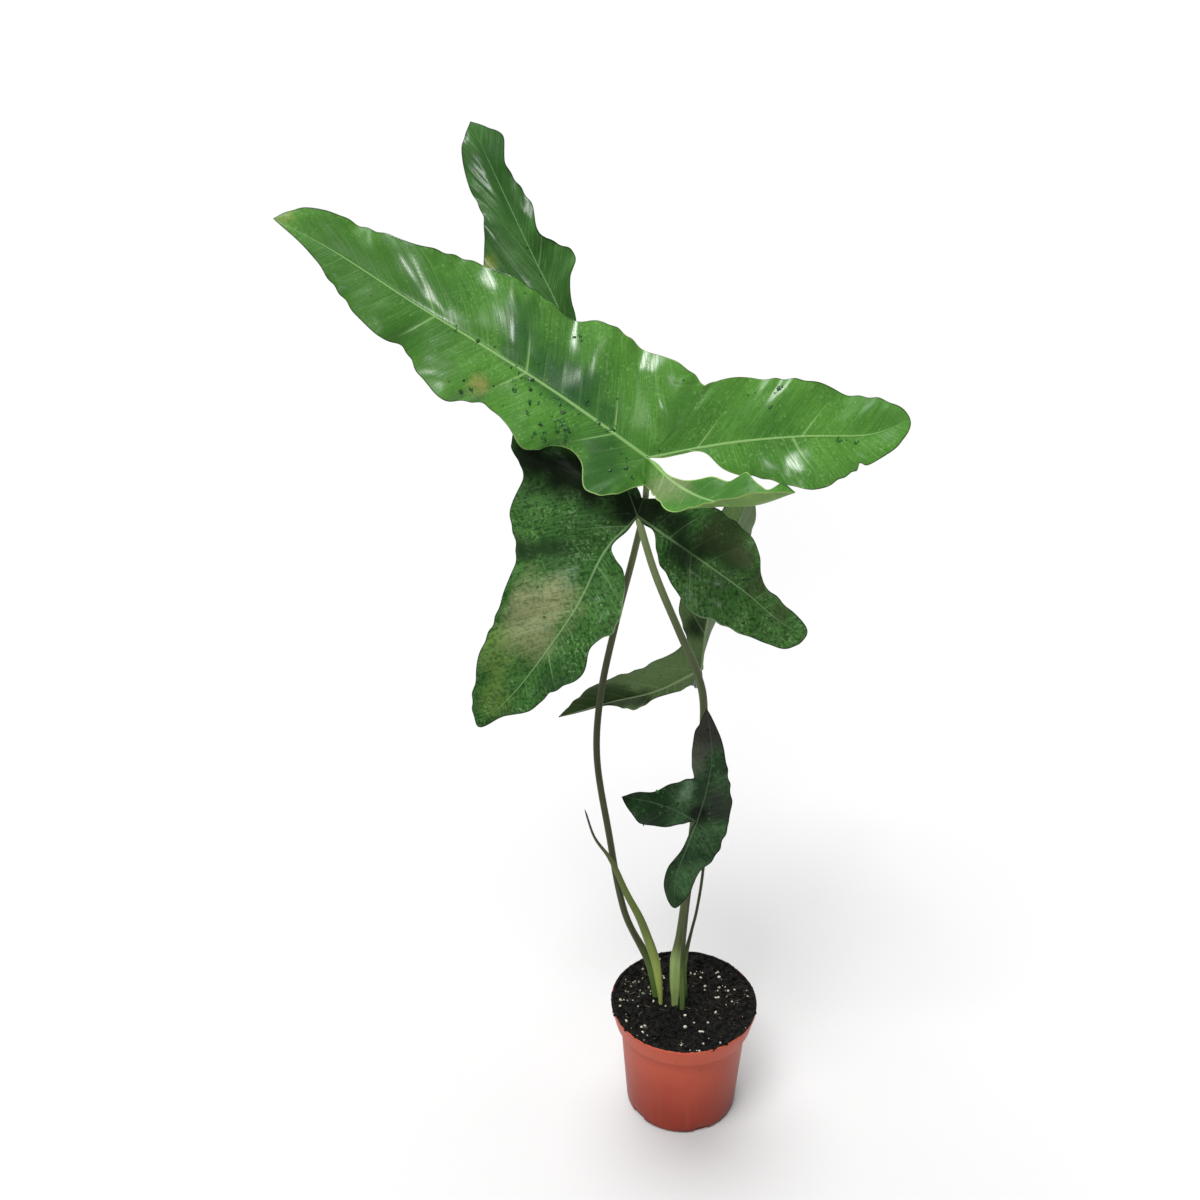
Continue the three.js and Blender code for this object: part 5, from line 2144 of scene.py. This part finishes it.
LEAVES = (
    LeafPlan(
        name="large",
        slot="leaf_bright",
        upper=BRIGHT_UPPER,
        under=BRIGHT_UNDER,
        front=RibPlan(
            (
                (-36, -22, 586), (-93, -12, 623), (-141, -4, 651), (-190, 4, 678), (-247, 14, 711),
                (-285, 20, 729),
            ),
            ((0.1, -0.93, 0.35), (0, -0.85, 0.5)),
        ),
        left=RibPlan(
            ((-36, -22, 586), (-18, -50, 580), (4, -78, 580), (30, -105, 589), (54, -135, 610)),
            ((-0.1, -0.6, 0.8), (-0.2, -0.25, 0.95)),
        ),
        right=RibPlan(
            ((-36, -22, 586), (16, -12, 594), (63, -4, 597), (113, 5, 597), (137, 10, 606)),
            ((0.1, -0.93, 0.35), (0.1, -0.8, 0.6)),
            blunt=True,
        ),
        notch=((-9, 15, 0), (-3, 60, 0)),
        fan=((-2, 0), (-1, 0)),
        front_margins=(
            (
                (7, 35, 8), (21, 41, 6), (34, 28, 0), (52, 27, -3), (69, 42, 5), (89, 36, 3),
                (111, 32, -4), (135, 44, 4), (156, 38, 2), (176, 28, -4), (193, 31, 3),
                (228, 21, 0), (261, 8, 2),
            ),
            (
                (16, 62, 3), (40, 57, -2), (70, 56, 4), (89, 47, -4), (110, 48, 2), (136, 48, 4),
                (167, 43, 0), (209, 31, 5), (239, 24, -2), (261, 21, 3), (283, 10, 0),
            ),
        ),
        outer_margins=(
            ((44, 19, 6), (69, 26, 12), (93, 18, 16), (132, 18, 16), (143, 8, 8)),
            ((57, 42, 3), (82, 40, 0), (111, 36, 4), (139, 29, -3), (171, 16, 3)),
        ),
        inner_margins=(
            (
                (10, 2, 0), (25, 2, 0), (45, 7, 2), (61, 15, 6), (76, 17, 2), (90, 22, 7),
                (106, 16, 0), (135, 9, 4),
            ),
            (
                (10, 2, 0), (22, 2, 0), (36, 3, 2), (49, 18, 5), (73, 25, -2), (91, 32, 3),
                (108, 37, 5), (137, 24, -3), (139.5, 23.2, -2), (141.3, 17.6, -1),
                (144.6, 20.8, 0), (152, 18, 2), (171, 9, 0),
            ),
        ),
        wet=Wet(
            (
                (-156, -18, 628, 5), (-121, -9, 636, 9), (-104, -20, 613, 15), (-95, -14, 621, 9),
                (-81, -15, 614, 10), (-94, -23, 597, 11), (-68, -17, 606, 8), (-54, -30, 580, 12),
                (-134, -17, 618, 9), (-148, -4, 654, 5), (-164, 0, 666, 5), (-36, -22, 588, 5),
                (-86, 5, 660, 5), (46, 5, 622, 7), (96, -6, 590, 8), (-22, -30, 586, 6),
            ),
            30000.0, 0.0007, 0.0021,
        ),
        seed=31,
        front_leans=((0.3, 0.3, 0.4, 0.6), (0.3, 0.17, 0.9, 1.57)),
        rear_leans=((0.5, 0.56, 0.72, 1.0), (0.05, 0.08, 0.25, 0.5)),
        swell=0.55,
        quilt=0.3,
        pleats=(0.15, 0.4, 0.6, 0.5),
        folds=(
            Fold(Panel.RIGHT_WEB, 171.0, 18.0, (0.0, -0.06), (6.0, 14.0)),
            Fold(Panel.RIGHT_WEB, 160.0, 16.0, (0.0, -0.06), (4.0, 14.0), 0.9),
            Fold(Panel.RIGHT_WEB, 110.0, 28.0, (-0.05, -0.12), (5.0, 18.0)),
            Fold(Panel.RIGHT_WEB, 70.0, 36.0, (0.06, -0.07), (12.0, 9.0), 0.9),
            Fold(Panel.RIGHT_WEB, 5.0, 53.0, (-0.26, -0.24), (6.0, 8.0), 0.75),
            Fold(Panel.RIGHT_WEB, -10.0, 39.0, (0.35, -0.2), (4.0, 7.0), 0.7),
            Fold(Panel.RIGHT_WEB, -70.0, 37.0, (-0.15, 0.03), (7.0, 7.0), 0.5),
            Fold(Panel.RIGHT_SINUS, 94.0, 18.0, (0.24, 0.24), (9.0, 9.0), 0.7),
            Fold(Panel.LEFT_WEB, 131.0, 34.0, (-0.1, 0.17), (6.0, 6.0), 0.8),
            Fold(Panel.LEFT_WEB, 100.0, 36.0, (-0.3, -0.2), (4.0, 5.0), 0.6),
        ),
    ),
    LeafPlan(
        name="upright",
        slot="leaf_deep",
        upper=DEEP_UPPER,
        under=DEEP_UNDER,
        front=RibPlan(
            (
                (-42, -25, 545), (-71, 10, 606), (-101, 44, 667), (-120, 62, 698), (-145, 86, 741),
                (-167, 108, 779),
            ),
            ((0.05, -0.88, 0.45), (0.15, -0.85, 0.5)),
        ),
        left=RibPlan(
            (
                (-42, -25, 545), (-63, -31, 522), (-81, -39, 485), (-102, -46, 452),
                (-125, -53, 421), (-150, -60, 396),
            ),
            ((-0.1, -0.92, 0.35), (-0.2, -0.9, 0.3)),
            blunt=True,
        ),
        right=RibPlan(
            ((-42, -25, 545), (-1, -36, 521), (31, -44, 501), (62, -52, 479), (74, -55, 478)),
            ((0, -0.92, 0.38), (0.2, -0.9, 0.35)),
            blunt=True,
        ),
        notch=((95, 39, 0), (11, 7, 0)),
        fan=((1, 3), (0, 0)),
        front_margins=(
            (
                (126, 42, 0), (160, 40, 3), (204, 32, -3), (229, 20, 4), (262, 19, -2),
                (283, 12, 2),
            ),
            (
                (54, 4, 4), (103, 9, 10), (142, 8, 6), (166, 15, 10), (180, 26, 4), (202, 10, 10),
                (226, 14, 2), (257, 9, 6), (279, 16, 0), (289, 9, 0),
            ),
        ),
        outer_margins=(
            (
                (15, 101, 3), (23, 94, 5), (27, 79, -3), (42, 68, 4), (65, 55, -4), (111, 43, 2),
                (144, 36, 4), (183, 14, -3),
            ),
            (
                (12, 21, 0), (26, 33, 0), (47, 34, 3), (68, 33, -3), (82, 24, 4), (93, 13, -4),
                (113, 11, 2),
            ),
        ),
        inner_margins=(
            (
                (11, 2, 0), (28, 2, 0), (36, 17, 4), (49, 25, 3), (78, 30, -3), (91, 24, 4),
                (111, 30, 3), (137, 18, -4), (152, 18, 3), (171, 6, -3),
            ),
            (
                (6, 2, 0), (14, 2, 0), (28, 16, 3), (45, 24, -2), (65, 32, 4), (82, 28, -3),
                (104, 23, 3), (120, 17, -3), (131, 12, 2),
            ),
        ),
        wet=Wet(
            (
                (-67, -42, 487, 6), (-108, -43, 465, 6), (-126, -31, 490, 6), (-112, -45, 450, 6),
                (22, -44, 512, 8), (12, -46, 490, 8),
            ),
            18000.0, 0.0006, 0.0014,
        ),
        seed=32,
        folds=(
            Fold(Panel.LEFT_WEB, 138.0, 26.0, (-0.05, -0.12), (18.0, 18.0), 0.7),
            Fold(Panel.LEFT_WEB, 238.0, 11.0, (-0.16, -0.4), (16.0, 5.0), 0.45),
            Fold(Panel.RIGHT_WEB, 211.0, 12.0, (-0.12, -0.3), (8.0, 5.0), 0.4),
            Fold(Panel.LEFT_WEB, -66.0, 26.0, (-0.4, 0.32), (14.0, 22.0), 0.12),
            Fold(Panel.LEFT_WEB, -104.0, 22.0, (-0.35, 0.2), (12.0, 14.0), 0.12),
            Fold(Panel.LEFT_SINUS, 61.0, 16.0, (0.45, 0.45), (9.0, 7.0), 0.25),
            Fold(Panel.LEFT_SINUS, 100.0, 14.0, (0.3, 0.35), (14.0, 8.0), 0.2),
            Fold(Panel.RIGHT_SINUS, 60.0, 15.0, (0.3, 0.35), (14.0, 8.0), 0.12),
        ),
    ),
    LeafPlan(
        name="rear",
        slot="leaf_grey",
        upper=GREY_UPPER,
        under=GREY_UNDER,
        front=RibPlan(
            ((4, 45, 391), (7, 54, 424), (19, 69, 472), (38, 85, 524)),
            ((-0.5, 0.75, 0.4), (-0.6, 0.7, 0.3)),
        ),
        left=RibPlan(
            ((4, 45, 391), (5, 80, 374), (4, 114, 353), (2, 142, 326)),
            ((-0.95, 0.15, 0.2), (-0.9, 0.1, 0.3)),
        ),
        right=RibPlan(
            ((4, 45, 391), (-30, 35, 376), (-64, 26, 370), (-102, 15, 361)),
            ((0, 0.93, 0.35), (0.1, 0.85, 0.5)),
        ),
        notch=((19, 12, 10), (21, 13, 3)),
        fan=((0, 0), (0, 1)),
        front_margins=(
            ((34, 25, 14), (75, 40, 16), (119, 33, 10)),
            ((45, 23, 10), (79, 19, 14), (112, 11, 12), (134, 9, 6)),
        ),
        outer_margins=(
            ((30, 16, 4), (60, 18, 2), (90, 12, 4)),
            ((14, 30, 0), (47, 28, 3), (79, 32, -2), (99, 13, 2)),
        ),
        inner_margins=(
            ((8, 3, 0), (20, 12, 0), (45, 18, -2), (75, 15, 3), (105, 8, 0)),
            ((13, 12, 0), (40, 6, -3), (53, 24, 4), (78, 4, 0), (98, 6, 2)),
        ),
        seed=33,
        quilt=0.4,
        swell=0.5,
        pleats=(0.25, 0.25, 0.25, 0.25),
    ),
    LeafPlan(
        name="low",
        slot="leaf_dark",
        upper=DARK_UPPER,
        under=DARK_UNDER,
        front=RibPlan(
            ((5, -40, 310), (11, -41, 338), (14, -41, 369), (9, -42, 408)),
            ((0.1, -0.95, 0.25), (0.2, -0.95, 0.1)),
        ),
        left=RibPlan(
            ((5, -40, 310), (-15, -48, 327), (-33, -55, 337), (-49, -62, 344)),
            ((-0.1, -0.9, 0.4), (-0.3, -0.8, 0.5)),
        ),
        right=RibPlan(
            ((5, -40, 310), (-1, -46, 293), (-9, -55, 269), (-9, -62, 247)),
            ((0.3, -0.9, 0.3), (0.2, -0.95, 0.2)),
            blunt=True,
        ),
        notch=((39, 11, 0), (7, 23, 2)),
        fan=((0, 0), (0, 1)),
        front_margins=(
            ((63, 15, 2), (78, 11, -2), (89, 6, 0)),
            ((26, 19, 4), (45, 13, 2), (73, 7, 4), (90, 3, 0)),
        ),
        outer_margins=(
            ((33, 19, 2), (42, 8, -2), (58, 5, 2)),
            ((5, 23, 4), (20, 23, 2), (37, 18, -2), (57, 11, 2)),
        ),
        inner_margins=(
            ((5, 3, 0), (15, 10, 2), (29, 18, -3), (52, 15, 3), (63, 6, 0)),
            ((6, 2, 0), (12, 2, 0), (24, 3, 0), (39, 9, 3), (54, 8, 2)),
        ),
        wet=Wet(
            (
                (-29, -53, 336, 14), (-14, -48, 326, 8), (9, -41, 317, 10), (13, -42, 356, 9),
                (-4, -53, 268, 10), (-11, -62, 250, 7),
            ),
            32000.0, 0.0005, 0.0015,
        ),
        seed=34,
        quilt=0.35,
        swell=0.5,
        pleats=(0.3, 0.3, 0.3, 0.3),
    ),
)

STEMS = (
    StemPlan(
        "stalk_large", "petiole", "petiole_large", OLIVE,
        (
            (-24, 8, 104, 2.4), (-30, 7, 136, 2.7), (-49, 6, 183, 2.7), (-63, 5, 265, 2.65),
            (-72, 4, 336, 2.6), (-69, 3, 389, 2.6), (-58, 1, 450, 2.5), (-45, -3, 509, 2.4),
            (-38, -11, 548, 2.2), (-36, -22, 586, 2.1),
        ),
        170.0, 1.2,
    ),
    StemPlan(
        "stalk_upright", "petiole", "petiole_upright", OLIVE_DEEP,
        (
            (-7, -2, 102, 1.7), (-7, -2, 120, 2.7), (-6, -2, 155, 3.4), (-3, -3, 196, 2.9),
            (3, -8, 289, 2.9), (7, -12, 394, 2.9), (2, -13, 418, 2.9), (-12, -16, 454, 2.7),
            (-30, -21, 502, 2.6), (-42, -25, 545, 2.4),
        ),
        172.0, 5.2, 0.75, 0.2,
    ),
    StemPlan(
        "stalk_low", "petiole", "petiole_low", OLIVE,
        (
            (-1, -8, 109, 1.8), (-2, -9, 152, 1.7), (0, -13, 201, 1.5), (3, -25, 254, 1.4),
            (5, -40, 310, 1.4),
        ),
        150.0, 4.6,
    ),
    StemPlan(
        "stalk_rear", "petiole_dark", "petiole_rear", SHEATH_DARK,
        (
            (0, 8, 103, 2.4), (-1, 8, 133, 2.2), (4, 9, 165, 1.3), (8, 11, 187, 1.2),
            (12, 14, 229, 1.2), (12, 20, 288, 1.2), (9, 30, 337, 1.2), (4, 45, 391, 1.3),
        ),
        165.0, 0.4,
    ),
    StemPlan(
        "old_sheath", "sheath", "old_leaf_sheath", SHEATH_PALE,
        (
            (-19, -1, 102, 1.6), (-20, -1, 114, 2.3), (-24, -2, 144, 3.2), (-31, -3, 170, 3.2),
            (-37, -4, 189, 2.9), (-48, -4, 213, 2.4), (-58, -4, 239, 2.1), (-63, -4, 249, 1.5),
            (-73, -3, 264, 1.0), (-81, -2, 290, 0.7),
        ),
        240.0, 0.5, 0.15, 0.45, 0.07, 6.0,
    ),
)


@dataclass
class Drops:
    """Water drops and wet specks on a leaf's upper face."""

    plan: LeafPlan
    blade: bpy.types.Object

    def surface(self) -> bpy.types.Object:
        """Finds where water stands on the upper face.

        Returns:
            A bare piece of the face.
        """
        mesh = self.blade.data
        spots = np.array(self.plan.wet.spots, float)
        lumps = Lumps(self.plan.seed + 50)
        faces = []
        for polygon in mesh.polygons:
            if polygon.material_index:
                continue
            centre = np.array(polygon.center)[None, :] / MM
            far = np.linalg.norm(spots[:, :3] - centre, axis=1) / spots[:, 3]
            if far.min() + 0.5 * float(lumps.at(centre, 5.0)[0]) < 1.0:
                faces.append(tuple(polygon.vertices))
        points = np.empty(len(mesh.vertices) * 3)
        mesh.vertices.foreach_get("co", points)
        return mesh_object("wet_patch", points.reshape(-1, 3) / MM, faces, [])

    def build(self) -> None:
        """Strews the drops, where the leaf has any."""
        wet, seed = self.plan.wet, self.plan.seed
        if wet is not None:
            sizes = (wet.density, wet.smallest, wet.largest)
            name = f"drops_{self.plan.name}"
            drops = Scatter(name, Grain.DROP, DropFinish(), *sizes, seed, 1.9, 0.12)
            drops.build(self.surface(), self.plan.slot)


def corners(box: Any) -> list[list[float]]:
    """A box's two corners as plain numbers."""
    return [[float(c) for c in corner] for corner in box]


def main() -> None:
    """Builds every piece round the frame."""
    logging.basicConfig(level=logging.INFO, format="%(name)s %(message)s")
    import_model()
    Studio().build()
    Pot().build()
    SoilBed().build()
    for stem in STEMS:
        Stem(stem).build()
    for leaf in LEAVES:
        Drops(leaf, Blade(leaf).build()).build()


if __name__ == "__main__":
    main()
